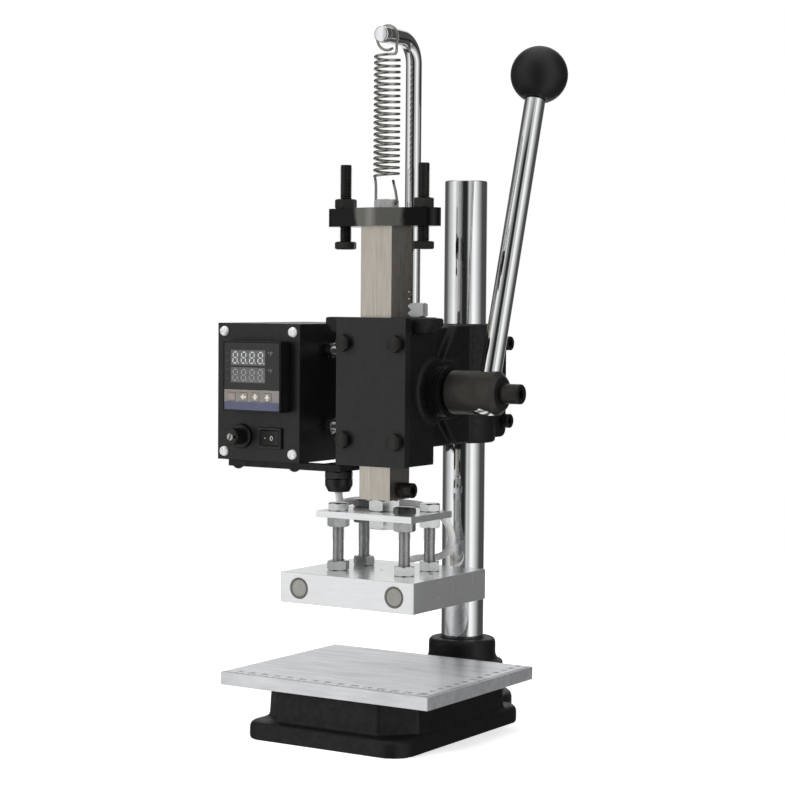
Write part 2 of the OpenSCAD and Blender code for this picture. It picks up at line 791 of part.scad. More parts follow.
module control_box() color("#1c1c1e") difference() {
    union() {
        difference() {
            translate([box_left, shell_front, box_z]) cube([box_w, box_d - panel_t, box_h]);
            translate([box_left + box_wall, shell_front - over, box_z + box_wall])
                cube([box_w - 2 * box_wall, box_d - panel_t - box_wall + over, box_h - 2 * box_wall]);
        }
        panel_places(shell_front) translate([0, 0, -post_l]) cylinder(h = post_l, d = post_d);
    }
    panel_places(shell_front) translate([0, 0, -post_l - over])
        cylinder(h = post_l + 2 * over, d = panel_screw_d + 2 * thread_gap);
    stud_places(box_right - box_wall - over) cylinder(h = box_wall + 2 * over, d = m6_d + 2 * thread_gap);
    bar_screw_places() translate([0, 0, -bar_t - box_wall - over])
        cylinder(h = bar_t + box_wall + 2 * over, d = m4_d + 2 * thread_gap);
    translate([box_mid_x, box_back - box_wall - over, box_z + mains_rise])
        along_y() cylinder(h = box_wall + 2 * over, d = gland_thread_d + 2 * thread_gap);
}

module box_front_panel() color("#232325") difference() {
    translate([box_left, box_front, box_z]) cube([box_w, panel_t, box_h]);
    panel_places(box_front) translate([0, 0, -panel_t - over])
        cylinder(h = panel_t + 2 * over, d = panel_screw_d + 2 * thread_gap);
    controller_cut = bezel_w - 2 * controller_step + 2 * loose_gap;
    translate([bezel_mid_x - controller_cut / 2, box_front - over, bezel_z - controller_cut / 2])
        cube([controller_cut, panel_t + 2 * over, controller_cut]);
    translate([fuse_x, box_front - over, fuse_z])
        along_y() cylinder(h = panel_t + 2 * over, d = fuse_tube_d + 2 * thread_gap);
    switch_cut_w = switch_body_w + 2 * loose_gap;
    switch_cut_h = switch_body_h + 2 * loose_gap;
    translate([switch_x - switch_cut_w / 2, box_front - over, switch_z - switch_cut_h / 2])
        cube([switch_cut_w, panel_t + 2 * over, switch_cut_h]);
}

module panel_screws() color("#d5d7d9")
    panel_places(box_front) pan_screw(panel_screw_d, panel_head_d, panel_head_h, post_l);

module key_place(k) translate([bezel_mid_x + (k - 1.5) * key_pitch - key_row_shift, 0, strip_top - key_drop])
    children();

module temperature_controller() color("#2c2d30") difference() {
    half = bezel_w / 2 - controller_step;
    union() {
        translate([bezel_mid_x - bezel_w / 2, bezel_front, bezel_z - bezel_w / 2])
            cube([bezel_w, bezel_out, bezel_w]);
        translate([bezel_mid_x - half, box_front - over, bezel_z - half])
            cube([2 * half, controller_l + over, 2 * half]);
    }
    translate([bezel_mid_x - face_half, bezel_front - over, bezel_z - face_half])
        cube([2 * face_half, face_depth + over, 2 * face_half]);
    for (k = [0 : 3]) key_place(k)
        translate([-key_w / 2 - loose_gap, bezel_front, -key_h / 2 - loose_gap])
            cube([key_w + 2 * loose_gap, key_l + 2 * key_travel, key_h + 2 * loose_gap]);
}

module display_window() color("#3a3c40")
    translate([bezel_mid_x - face_half + loose_gap, bezel_front + face_depth / 4, strip_top + strip_gap])
        cube([2 * face_half - 2 * loose_gap, face_depth * 3 / 4,
            bezel_z + face_half - loose_gap - strip_top - strip_gap]);

module key_strip() color("#8f8f92") difference() {
    half = face_half - loose_gap;
    translate([bezel_mid_x - half, bezel_front + face_depth / 4, bezel_z - half])
        cube([2 * half, face_depth * 3 / 4, strip_h - loose_gap]);
    for (k = [0 : 3]) key_place(k)
        translate([-key_w / 2 - loose_gap, bezel_front, -key_h / 2 - loose_gap])
            cube([key_w + 2 * loose_gap, key_l, key_h + 2 * loose_gap]);
}

module key(k) key_place(k) translate([-key_w / 2, bezel_front, -key_h / 2]) cube([key_w, key_l, key_h]);
module key_set() color("#a08a8c") key(0);
module key_left() color("#9a9a9c") key(1);
module key_down() color("#9a9a9c") key(2);
module key_up() color("#9a9a9c") key(3);

module fuse_holder() color("#1a1a1b") translate([fuse_x, box_front, fuse_z]) along_y() difference() {
    union() {
        translate([0, 0, -fuse_flange_h]) bar(fuse_flange_d, fuse_flange_h, bar_chamfer);
        translate([0, 0, -thin]) cylinder(h = fuse_tube_l, d = fuse_tube_d);
    }
    translate([0, 0, -fuse_flange_h - over])
        cylinder(h = fuse_tube_l + fuse_flange_h - over, d = fuse_bore_d);
}

module fuse_cap() color("#1a1a1b") {
    front = box_front - fuse_flange_h - seat_gap;
    translate([fuse_x, front, fuse_z]) along_y() difference() {
        union() {
            translate([0, 0, -fuse_cap_l]) bar(fuse_cap_d, fuse_cap_l);
            translate([0, 0, -over]) cylinder(h = fuse_stem_l + over, d = fuse_bore_d - 2 * loose_gap);
        }
        translate([0, 0, fuse_stem_l - fuse_grip]) cylinder(h = fuse_grip + over, d = fuse_d + 2 * turn_gap);
        translate([-fuse_cap_d / 2 - over, -fuse_slot_w / 2, -fuse_cap_l - over])
            cube([fuse_cap_d + 2 * over, fuse_slot_w, over + fuse_slot_l]);
    }
}

module fuse() color("#cfd3d6")
    translate([fuse_x, box_front - fuse_flange_h + fuse_stem_l - fuse_grip, fuse_z])
        along_y() bar(fuse_d, fuse_l, bar_chamfer / 2);

module switch_frame() color("#1a1a1b") {
    hole_w = 2 * (rocker_half + rocker_gap);
    hole_h = rocker_h + 2 * loose_gap;
    translate([switch_x, box_front, switch_z]) difference() {
        union() {
            translate([-switch_w / 2, -switch_rim, -switch_h / 2]) cube([switch_w, switch_rim, switch_h]);
            translate([-switch_body_w / 2, -over, -switch_body_h / 2])
                cube([switch_body_w, switch_body_l + over, switch_body_h]);
        }
        translate([-hole_w / 2, -switch_rim - over, -hole_h / 2])
            cube([hole_w, switch_rim + over + rocker_depth, hole_h]);
    }
}

module switch_rocker() color("#141415")
    translate([switch_x, box_front + rocker_pivot, switch_z - rocker_h / 2]) rotate([0, 0, rocker_tilt])
        linear_extrude(rocker_h) polygon([[-rocker_half, -rocker_nose], [0, -rocker_dip],
            [rocker_half, -rocker_nose], [rocker_foot_half, rocker_foot], [-rocker_foot_half, rocker_foot]]);

module solid_state_relay() color("#d8d6cf")
    translate([box_mid_x - relay_w / 2, relay_y, box_z + box_wall]) cube([relay_w, relay_l, relay_h]);

module box_bracket() color("#202022") difference() {
    leg_x0 = -guide_w / 2 - leg_t;
    leg_top = pinion_z + stud_rise + leg_above;
    union() {
        translate([box_left + bar_in, box_front + bar_front, box_z - bar_t])
            cube([-guide_w / 2 - box_left - bar_in, bar_w, bar_t]);
        translate([lead_x - pad_w / 2, box_front + bar_front, box_z - bar_t])
            cube([-guide_w / 2 - lead_x + pad_w / 2, pad_back - box_front - bar_front, bar_t]);
        translate([leg_x0, -leg_front, box_z - bar_t])
            cube([leg_t, leg_front + leg_back, leg_top - box_z + bar_t]);
    }
    bar_screw_places() translate([0, 0, -bar_t - over])
        cylinder(h = bar_t + 2 * over, d = m4_d + 2 * thread_gap);
    stud_places(leg_x0 - over) cylinder(h = leg_t + 2 * over, d = m6_d + 2 * thread_gap);
    translate([lead_x, lead_y, box_z - bar_t - over])
        cylinder(h = bar_t + 2 * over, d = gland_thread_d + 2 * thread_gap);
}

module bracket_screws() color("#232325")
    bar_screw_places() pan_screw(m4_d, m4_head_d, m4_head_h, bar_screw_l);

module gland_body(thread_l) {
    translate([0, 0, -thread_l]) cylinder(h = thread_l + over, d = gland_thread_d);
    hex_bar(gland_flats, gland_hex_h);
    translate([0, 0, gland_hex_h]) rotate_extrude() polygon([[0, 0], [gland_dome_d / 2, 0],
        [gland_dome_d / 2, gland_dome_h / 2], [gland_mouth_d / 2, gland_dome_h], [0, gland_dome_h]]);
}

module lead_gland() color("#1a1a1b")
    translate([lead_x, lead_y, box_z - bar_t]) mirror([0, 0, 1]) gland_body(bar_t);

module mains_gland() color("#1a1a1b") {
    inside = box_wall + gland_nut_h;
    translate([box_mid_x, box_back, box_z + mains_rise]) along_y() difference() {
        union() {
            gland_body(inside);
            translate([0, 0, -inside]) hex_bar(gland_nut_flats, gland_nut_h);
        }
        translate([0, 0, -inside - over])
            cylinder(h = inside + gland_hex_h + gland_dome_h + 2 * over, d = mains_bore_d);
    }
}

function path_length(p) = len(p) < 2 ? 0 : [for (i = 1, l = norm(p[1] - p[0]); i < len(p);
    i = i + 1, l = i < len(p) ? l + norm(p[i] - p[i - 1]) : l) l][len(p) - 2];
echo(heater_lead_length = path_length(smooth(lead_route, lead_steps)));

module heater_lead() color("#e6e4dc") tube(smooth(lead_route, lead_steps), lead_d / 2, lead_sides);

// Ram group
module ram_outline() {
    half = ram_w / 2;
    root = half - rack_add - rack_ded;
    mid = (rack_pitch + backlash) / 2;
    mouth = mid + 2 * rack_add * tan(pressure_angle);
    floor_w = mid - 2 * rack_ded * tan(pressure_angle);
    polygon(concat([[-half, ram_z], [half, ram_z]],
        [for (k = [-spaces_below : spaces_above]) let (z = pinion_z + k * rack_pitch)
            each [[half, z - mouth / 2], [root, z - floor_w / 2],
                [root, z + floor_w / 2], [half, z + mouth / 2]]],
        [[half, ram_top], [-half, ram_top]]));
}

module ram() color("#a8a49c") difference() {
    side_profile(ram_w) ram_outline();
    translate([0, 0, ram_z - over]) cylinder(h = spigot_sink + over + loose_gap, d = m12_d + 2 * thread_gap);
    translate([0, 0, ram_top - anchor_stud_l + stop_t - loose_gap])
        cylinder(h = anchor_stud_l, d = m8_d + 2 * thread_gap);
    translate([0, 0, ram_z + set_screw_rise]) along_x() cylinder(h = ram_w, d = m6_d + 2 * thread_gap);
}

module stop_places() for (sx = [-1, 1]) translate([sx * stop_bolt_x, -stop_y, 0]) children();

module stop_plate() color("#26272a") difference() {
    translate([0, 0, ram_top]) linear_extrude(stop_t) hull() {
        circle(stop_mid_r, $fn = 48);
        for (sx = [-1, 1]) translate([sx * (stop_x - stop_end_r), -stop_y]) circle(stop_end_r, $fn = 32);
    }
    stop_places() translate([0, 0, ram_top - over])
        cylinder(h = stop_t + 2 * over, d = m8_d + 2 * thread_gap);
    translate([0, 0, ram_top - over]) cylinder(h = stop_t + 2 * over, d = m8_d + 2 * thread_gap);
}

module spring_anchor() color("#77797b") difference() {
    translate([0, 0, stop_top]) rotate([0, 0, 30]) hex_bolt(m8_d, anchor_flats, anchor_h, anchor_stud_l);
    translate([-anchor_flats, 0, hook_z])
        along_x() cylinder(h = 2 * anchor_flats, d = wire_d + 2 * anchor_hole_gap);
}

module stop_lock_nuts() color("#232427")
    stop_places() translate([0, 0, stop_top]) nut(m8_flats, m8_nut_h, m8_d);

module stop_bolt(sx) translate([sx * stop_bolt_x, -stop_y, ram_top - stop_head_gap])
    mirror([0, 0, 1]) hex_bolt(m8_d, m8_flats, m8_head_h, stop_bolt_l);
module stop_bolt_left() color("#232427") stop_bolt(-1);
module stop_bolt_right() color("#232427") stop_bolt(1);

module ram_set_screw() color("#1b1b1c") translate([ram_w / 2, 0, ram_z + set_screw_rise]) along_x() {
    nut(m6_flats, set_nut_h, m6_d);
    translate([0, 0, set_nut_h])
        socket_screw(m6_d, m6_socket_d, m6_socket_h, m6_key, set_nut_h + set_screw_sink);
}

module spigot_bolt() color("#b5b8ba")
    translate([0, 0, upper_z]) mirror([0, 0, 1])
        hex_bolt(m12_d, m12_flats, m12_head_h, upper_t + spigot_nut_h + spigot_sink);

module spigot_nut() color("#b5b8ba") translate([0, 0, upper_top]) nut(m12_flats, spigot_nut_h, m12_d);

module level_places(z) for (sx = [-1, 1], sy = [-1, 1]) translate([sx * level_x, sy * level_y, z]) children();

module upper_plate() color("#d4d6d8") difference() {
    translate([-upper_w / 2, -upper_d / 2, upper_z]) cube([upper_w, upper_d, upper_t]);
    level_places(upper_z - over) cylinder(h = upper_t + 2 * over, d = m8_d + 2 * thread_gap);
    translate([0, 0, upper_z - over]) cylinder(h = upper_t + 2 * over, d = m12_d + 2 * thread_gap);
}

module levelling_bolts() color("#b5b8ba")
    level_places(upper_top) hex_bolt(m8_d, m8_flats, m8_head_h, upper_t + level_gap + level_sink);
module upper_jam_nuts() color("#b5b8ba") level_places(upper_z - m8_nut_h) nut(m8_flats, m8_nut_h, m8_d);
module lower_jam_nuts() color("#b5b8ba") level_places(plate_top) nut(m8_flats, m8_nut_h, m8_d);

module cartridge_places() for (sx = [-1, 1])
    translate([sx * cartridge_x, -plate_d / 2, plate_z + plate_t / 2]) along_y() children();

module heating_plate() color("#dcdedf") difference() {
    translate([-plate_w / 2, -plate_d / 2, plate_z]) cube([plate_w, plate_d, plate_t]);
    level_places(plate_top - level_sink - loose_gap)
        cylinder(h = level_sink + over + loose_gap, d = m8_d + 2 * thread_gap);
    cartridge_places() {
        translate([0, 0, -over])
            cylinder(h = cartridge_set + cartridge_l + over, d = cartridge_d + 2 * thread_gap);
        translate([0, 0, -over])
            cylinder(h = cartridge_set + cartridge_head_l + over + loose_gap,
                d = cartridge_head_d + 2 * thread_gap);
        cylinder(h = plate_d + over, d = wire_bore_d);
    }
    translate([terminal_x, plate_d / 2 - probe_l, plate_z + terminal_low + terminal_h / 2])
        along_y() cylinder(h = plate_d, d = probe_d + 2 * thread_gap);
}

module heater_cartridges() color("#9b9c9c")
    cartridge_places() translate([0, 0, cartridge_set]) {
        bar(cartridge_d, cartridge_l);
        cylinder(h = cartridge_head_l, d = cartridge_head_d);
    }

module thermocouple() color("#c2c4c5")
    translate([terminal_x, plate_d / 2 - probe_l + loose_gap, plate_z + terminal_low + terminal_h / 2])
        along_y() cylinder(h = probe_l - loose_gap + probe_in_block - loose_gap, d = probe_d);

module terminal_block() color("#e4e1d6") difference() {
    translate([terminal_x - terminal_w / 2, plate_d / 2, plate_z + terminal_low])
        cube([terminal_w, terminal_d, terminal_h]);
    translate([terminal_x, plate_d / 2 - over, plate_z + terminal_low + terminal_h / 2])
        along_y() cylinder(h = over + probe_in_block, d = probe_d + 2 * thread_gap);
}

module heater_wires() color("#e6e4dc") {
    tube(smooth(wire_right, lead_steps), heater_wire_d / 2, lead_sides);
    tube(smooth(wire_left, lead_steps), heater_wire_d / 2, lead_sides);
}

// Lever group
function involute(a) = tan(a) * 180 / PI - a;
function half_tooth(r) = (rack_pitch - backlash) / 4 / pitch_r * 180 / PI + involute(pressure_angle)
    - involute(acos(min(1, base_circle_r / r)));
function polar(r, a) = [r * cos(a), r * sin(a)];

module pinion_outline() {
    flank = [for (k = [0 : flank_steps]) base_circle_r + (gear_tip_r - base_circle_r) * k / flank_steps];
    polygon([for (k = [0 : pinion_teeth - 1]) let (mid = 270 + 360 * k / pinion_teeth)
        each concat([polar(gear_root_r, mid - half_tooth(base_circle_r))],
            [for (r = flank) polar(r, mid - half_tooth(r))],
            [for (j = [flank_steps : -1 : 0]) polar(flank[j], mid + half_tooth(flank[j]))],
            [polar(gear_root_r, mid + half_tooth(base_circle_r))])]);
}

module pinion_shaft() color("#8c8f92") {
    at_pinion(-ram_w / 2) linear_extrude(ram_w) pinion_outline();
    at_pinion(seat_gap - guide_w / 2) bar(shaft_d, hub_start + hub_grip + guide_w / 2 - seat_gap);
}

module along_lever() translate([lever_x, pinion_y, pinion_z]) rotate([-lever_lean, 0, 0]) children();

module hub() color("#232325") difference() {
    at_pinion(hub_start) bar(hub_d, hub_l, hub_chamfer);
    at_pinion(hub_start - over) cylinder(h = hub_grip + over + loose_gap, d = shaft_d + 2 * thread_gap);
    at_pinion(lever_x) cylinder(h = hub_l, d = m8_d + 2 * thread_gap);
    along_lever() translate([0, 0, -hub_d]) cylinder(h = 2 * hub_d, d = lever_d + 2 * thread_gap);
}

module hub_screw() color("#1d1d1f")
    at_pinion(hub_end)
        socket_screw(m8_d, end_screw_d, end_screw_l, m8_key, lever_inset - lever_d / 2 - thread_gap);

module lever_rod() color("#e0e3e6") along_lever() {
    flat = lever_l - ball_flat_drop;
    translate([0, 0, -lever_below]) bar(lever_d, lever_below + flat);
    translate([0, 0, flat - over]) bar(ball_stem_d, ball_stem_l + over);
}

module lever_ball() color("#161617") along_lever() difference() {
    translate([0, 0, lever_l]) sphere(d = ball_d);
    translate([-ball_d / 2, -ball_d / 2, lever_l - ball_flat_drop - ball_d]) cube(ball_d);
    translate([0, 0, lever_l - ball_d]) cylinder(h = ball_d - ball_flat_drop + ball_stem_l + loose_gap,
        d = ball_stem_d + 2 * thread_gap);
}

base_casting();
table_screws();
work_table();
column();
column_set_screw();
head_casting();
front_cover();
cover_bolts();
clamp_screws();
bearing_cap();
pinion_bush();
spring_rod();
spring_rod_nut();
tension_spring();
box_studs();
box_nuts();
control_box();
box_front_panel();
panel_screws();
temperature_controller();
display_window();
key_strip();
fuse_holder();
switch_frame();
solid_state_relay();
box_bracket();
bracket_screws();
lead_gland();
mains_gland();
heater_lead();
switch_rocker();
key_set();
key_left();
key_down();
key_up();
fuse();
fuse_cap();
ram();
stop_plate();
spring_anchor();
stop_lock_nuts();
ram_set_screw();
spigot_bolt();
spigot_nut();
upper_plate();
levelling_bolts();
upper_jam_nuts();
lower_jam_nuts();
heating_plate();
heater_cartridges();
thermocouple();
terminal_block();
heater_wires();
stop_bolt_left();
stop_bolt_right();
pinion_shaft();
hub();
hub_screw();
lever_rod();
lever_ball();
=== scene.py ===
"""Looks of the hot foil stamping press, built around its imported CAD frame. Metres, +Z up, front to -Y."""
import json
import math

import bmesh
import bpy
from mathutils import Matrix, Vector


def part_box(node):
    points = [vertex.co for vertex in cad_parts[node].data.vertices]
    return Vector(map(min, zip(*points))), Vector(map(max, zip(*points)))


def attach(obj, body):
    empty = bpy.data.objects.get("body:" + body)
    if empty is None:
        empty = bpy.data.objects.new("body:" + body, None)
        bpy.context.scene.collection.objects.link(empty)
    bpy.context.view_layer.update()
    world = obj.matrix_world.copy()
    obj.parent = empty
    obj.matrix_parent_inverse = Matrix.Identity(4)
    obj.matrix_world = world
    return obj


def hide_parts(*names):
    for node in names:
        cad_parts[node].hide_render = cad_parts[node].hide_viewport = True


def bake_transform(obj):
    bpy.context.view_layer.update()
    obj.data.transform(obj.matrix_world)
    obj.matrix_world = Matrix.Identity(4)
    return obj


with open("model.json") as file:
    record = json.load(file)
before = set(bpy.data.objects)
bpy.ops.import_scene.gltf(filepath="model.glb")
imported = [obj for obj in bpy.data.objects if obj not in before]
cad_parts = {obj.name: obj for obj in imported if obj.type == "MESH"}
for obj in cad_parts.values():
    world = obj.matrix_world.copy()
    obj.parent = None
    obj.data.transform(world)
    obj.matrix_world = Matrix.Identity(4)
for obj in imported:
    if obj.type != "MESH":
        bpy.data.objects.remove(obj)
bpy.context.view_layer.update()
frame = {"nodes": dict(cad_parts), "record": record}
nodes = frame["nodes"]
MM = 0.001

# Camera, first of all
CAMERA_PLACE = Vector((0.7609, -1.1854, 0.2903))
CAMERA_TARGET = Vector((0.0527, -0.0735, 0.2297))
CAMERA_ROLL = math.radians(0.43)
CAMERA_LENS, SENSOR, CLIP_END = 97.45, 36.0, 50


def make_camera():
    back = (CAMERA_PLACE - CAMERA_TARGET).normalized()
    right = Vector((0, 0, 1)).cross(back).normalized()
    up = back.cross(right)
    right, up = (right * math.cos(CAMERA_ROLL) + up * math.sin(CAMERA_ROLL),
                 up * math.cos(CAMERA_ROLL) - right * math.sin(CAMERA_ROLL))
    data = bpy.data.cameras.new("camera")
    data.lens, data.sensor_width, data.clip_end = CAMERA_LENS, SENSOR, CLIP_END
    camera = bpy.data.objects.new("camera", data)
    camera.matrix_world = Matrix((right, up, back)).transposed().to_4x4()
    camera.location = CAMERA_PLACE
    bpy.context.scene.collection.objects.link(camera)
    bpy.context.scene.camera = camera


make_camera()


# Materials
def linear(rgb):
    """The colour that a screen value from 0 to 255 stands for."""
    return tuple((c / 255 / 12.92) if c <= 10 else ((c / 255 + 0.055) / 1.055) ** 2.4 for c in rgb) + (1.0,)


def shader_node(tree, kind, values=None, links=None, **settings):
    """A node with its settings, its fixed inputs and its linked inputs."""
    node = tree.nodes.new("ShaderNode" + kind)
    for key, value in settings.items():
        setattr(node, key, value)
    for key, value in (values or {}).items():
        node.inputs[key].default_value = value
    for key, source in (links or {}).items():
        tree.links.new(source, node.inputs[key])
    return node


# Noise lies mostly between these two values
NOISE_LOW, NOISE_HIGH = 0.3, 0.7


class Paint:
    """A Principled material whose colour, roughness and relief vary over the piece."""

    def __init__(self, name, rgb, roughness, metallic=0.0):
        self.material = bpy.data.materials.new(name)
        self.material.use_nodes = True
        self.tree = self.material.node_tree
        self.shader = self.tree.nodes["Principled BSDF"]
        self.rgb, self.roughness = rgb, roughness
        self.set({"Base Color": linear(rgb), "Roughness": roughness, "Metallic": metallic})
        self.place = self.add("TexCoord").outputs["Object"]

    def set(self, values):
        for key, value in values.items():
            self.shader.inputs[key].default_value = value

    def add(self, kind, values=None, links=None, **settings):
        return shader_node(self.tree, kind, values, links, **settings)

    def feed(self, source, key):
        self.tree.links.new(source, self.shader.inputs[key])

    def noise(self, per_metre, detail, stretch=(1, 1, 1)):
        shift = self.add("Mapping", {"Scale": stretch}, {"Vector": self.place})
        noise = self.add("TexNoise", {"Scale": per_metre, "Detail": detail}, {"Vector": shift.outputs[0]})
        return noise.outputs["Fac"]

    def spread(self, value, low, high):
        limits = {"From Min": NOISE_LOW, "From Max": NOISE_HIGH, "To Min": low, "To Max": high}
        return self.add("MapRange", limits, {"Value": value}).outputs["Result"]

    def vary_colour(self, value, share):
        """Colour between a darker and a lighter tone of the base, led by value."""
        ramp = self.add("ValToRGB", links={"Fac": value})
        tones = ((NOISE_LOW, 1 - share), (NOISE_HIGH, 1 + share))
        for stop, (position, factor) in zip(ramp.color_ramp.elements, tones):
            stop.position = position
            stop.color = tuple(min(1, c * factor) for c in linear(self.rgb)[:3]) + (1,)
        self.feed(ramp.outputs["Color"], "Base Color")

    def vary_roughness(self, value, share):
        low, high = self.roughness * (1 - share), min(1, self.roughness * (1 + share))
        self.feed(self.spread(value, low, high), "Roughness")

    def bump(self, value, height):
        bump = self.add("Bump", {"Strength": 1.0, "Distance": height}, {"Height": value})
        self.feed(bump.outputs["Normal"], "Normal")

    def finish(self, colour=None, rough=None, relief=None):
        """The material. Each finish is given as features per metre, detail and amount."""
        for given, use in ((colour, self.vary_colour), (rough, self.vary_roughness), (relief, self.bump)):
            if given:
                per_metre, detail, amount = given
                use(self.noise(per_metre, detail), amount)
        return self.material


def cast_paint(name, rgb):
    p = Paint(name, rgb, 0.5)
    p.set({"Specular IOR Level": 0.4})
    return p.finish(colour=(90, 4, 0.22), rough=(260, 3, 0.2), relief=(520, 5, 0.00035))


def powder_paint(name, rgb, roughness=0.42):
    return Paint(name, rgb, roughness).finish(colour=(60, 3, 0.07), rough=(300, 2, 0.12),
                                              relief=(1900, 2, 0.00004))


def oxide(name, rgb, roughness=0.34):
    return Paint(name, rgb, roughness, 0.8).finish(colour=(60, 3, 0.15), rough=(150, 3, 0.2),
                                                   relief=(700, 2, 0.000006))


def brushed(name, rgb, roughness, metallic=1.0, stretch=(1, 1, 1), depth=0.000006, share=0.05, lines=900,
            cloud=(35, (1, 1, 1))):
    """Brush lines along the stretched axis, and clouds of colour as features per metre and their stretch."""
    p = Paint(name, rgb, roughness, metallic)
    brush = p.noise(lines, 4, stretch)
    p.vary_colour(p.noise(cloud[0], 3, cloud[1]), share)
    p.vary_roughness(brush, 0.25)
    p.bump(brush, depth)
    return p.material


def chrome(name):
    return Paint(name, (247, 248, 249), 0.055, 1.0).finish(colour=(40, 2, 0.02), rough=(120, 2, 0.2))


def plated(name, rgb, roughness, metallic=1.0):
    """A smooth bright plating with a faint cloudiness."""
    return Paint(name, rgb, roughness, metallic).finish(colour=(220, 2, 0.05), rough=(400, 2, 0.15),
                                                        relief=(260, 1, 0.000002))


def worn_oxide(name, rgb, dark, middle, half, edge, roughness):
    """Black oxide with a painted reflection: the base tone within half of x = middle, fading through a
    ragged edge to the dark tone beyond.
    """
    p = Paint(name, rgb, roughness, 0.85)
    moved = p.add("Mapping", {"Location": (-middle, 0, 0)}, {"Vector": p.place})
    split = p.add("SeparateXYZ", links={0: moved.outputs[0]})
    far = p.add("Math", links={0: split.outputs["X"]}, operation="ABSOLUTE")
    cloud = p.spread(p.noise(90, 3), -edge / 2, edge / 2)
    ragged = p.add("Math", links={0: far.outputs[0], 1: cloud}, operation="ADD")
    share = p.add("MapRange", {"From Min": half - edge, "From Max": half + edge},
                  {"Value": ragged.outputs[0]}, interpolation_type="SMOOTHSTEP")
    tone = p.add("Mix", {"A": linear(rgb), "B": linear(dark)}, {"Factor": share.outputs["Result"]},
                 data_type="RGBA")
    p.feed(tone.outputs["Result"], "Base Color")
    return p.finish(rough=(200, 2, 0.1), relief=(500, 2, 0.000003))


def plastic(name, rgb, roughness, grain=0.00002):
    return Paint(name, rgb, roughness).finish(colour=(120, 3, 0.08), rough=(500, 2, 0.12),
                                              relief=(1600, 2, grain))


def see_through_silicone(name):
    p = Paint(name, (246, 246, 243), 0.34)
    p.set({"Subsurface Weight": 0.8, "Subsurface Radius": (0.004, 0.004, 0.0038), "Subsurface Scale": 0.6})
    return p.finish(colour=(200, 2, 0.03), relief=(900, 2, 0.00002))


def clear_glass(name):
    p = Paint(name, (225, 235, 235), 0.05)
    p.set({"Transmission Weight": 0.9})
    return p.finish(rough=(300, 2, 0.3))


# One material for each slot of the record
looks = {
    "casting_black": cast_paint("cast_black_paint", (15, 15, 15)),
    "cover_charcoal": powder_paint("charcoal_powder", (22, 23, 23)),
    "box_black": powder_paint("black_powder", (14, 14, 14), 0.36),
    "black_oxide": oxide("black_oxide", (52, 51, 49)),
    "zinc": plated("zinc_plate", (214, 216, 216), 0.22),
    "ground_steel": brushed("ground_steel", (204, 197, 186), 0.34, stretch=(1, 1, 0.05)),
    "spring_steel": plated("spring_wire", (176, 177, 168), 0.3),
    "chrome": chrome("chrome_plate"),
    "table_aluminium": brushed("table_brushed", (226, 227, 229), 0.36, 0.72, (0.03, 1, 1), 0.00002, 0.11,
                               cloud=(150, (0.2, 1, 1))),
    "plate_aluminium": brushed("plate_machined", (236, 237, 238), 0.22, 0.78, (0.06, 1, 1), 0.000003, 0.02),
    "bronze": brushed("bronze", (150, 116, 70), 0.35),
    "cartridge_steel": brushed("cartridge_steel", (184, 182, 176), 0.5, 0.8, share=0.2, lines=500),
    "plastic_black": plastic("black_plastic", (20, 20, 21), 0.38),
    "plastic_cream": plastic("cream_plastic", (214, 209, 197), 0.5),
    "ball_black": plastic("ball_plastic", (17, 17, 17), 0.46, 0.000002),
    "display": plastic("display_window", (27, 26, 25), 0.24, 0.000005),
    "key_band": plastic("key_band", (129, 125, 121), 0.5),
    "key_grey": plastic("key_rubber", (133, 129, 122), 0.6),
    "silicone_white": see_through_silicone("silicone"),
    "fuse_glass": clear_glass("fuse_glass"),
}
# Materials of marks and of pieces that differ from their slot
EXTRA = {
    "lower_band": plastic("lower_band", (82, 85, 108), 0.5),
    "window_grey": plastic("window_grey", (88, 88, 88), 0.3),
    "digit_grey": plastic("digit_grey", (196, 198, 200), 0.45),
    "mark_grey": plastic("mark_grey", (58, 57, 56), 0.5),
    "unit_grey": plastic("unit_grey", (116, 115, 113), 0.5),
    "mark_light": plastic("mark_light", (212, 209, 196), 0.5),
    "key_pink": plastic("key_pink", (148, 134, 129), 0.6),
    "scale_ink": plastic("scale_ink", (30, 31, 33), 0.6),
    "rocker_black": plastic("rocker_black", (14, 14, 15), 0.25),
    # Painted reflection on the stop plate: a lighter middle and dark ends stand in for what its front
    # reflects
    "oxide_painted_sheen": worn_oxide("oxide_painted_sheen", (134, 133, 128), (40, 40, 40), 0.0045, 0.0175, 0.0025, 0.24),
    "dim_digit": plastic("dim_digit", (140, 141, 143), 0.5),
    "screw_zinc": plated("screw_zinc", (250, 250, 248), 0.4, 0.4),
    "anchor_zinc": plated("anchor_zinc", (226, 226, 223), 0.3, 0.5),
    "thread_zinc": plated("thread_zinc", (196, 197, 196), 0.42),
    "hub_satin": oxide("hub_satin", (70, 68, 64), 0.46),
    "insert_grey": plastic("insert_grey", (150, 149, 144), 0.4),
    "rim_grey": plastic("rim_grey", (96, 94, 90), 0.6),
    # Near-black discs that paint the shade inside the heating plate's pits
    "pit_painted_shade": plastic("pit_painted_shade", (18, 18, 19), 0.8),
}


def paint(obj, material):
    obj.data.materials.clear()
    obj.data.materials.append(material)
    return obj


slot_of = {s["node"]: s["material_slot"] for s in frame["record"]["subparts"]}
body_of = {n: b for b, members in frame["record"]["behaviour"]["bodies"].items() for n in members}
for name, obj in nodes.items():
    paint(obj, looks[slot_of[name]])

# Piece helpers
SMOOTH_ANGLE, THREAD_ANGLE = math.radians(32), math.radians(80)
WELD = 2e-6


def place_object(name, mesh):
    """The mesh as a smooth object of the scene."""
    obj = bpy.data.objects.new(name, mesh)
    bpy.context.scene.collection.objects.link(obj)
    for polygon in mesh.polygons:
        polygon.use_smooth = True
    return obj


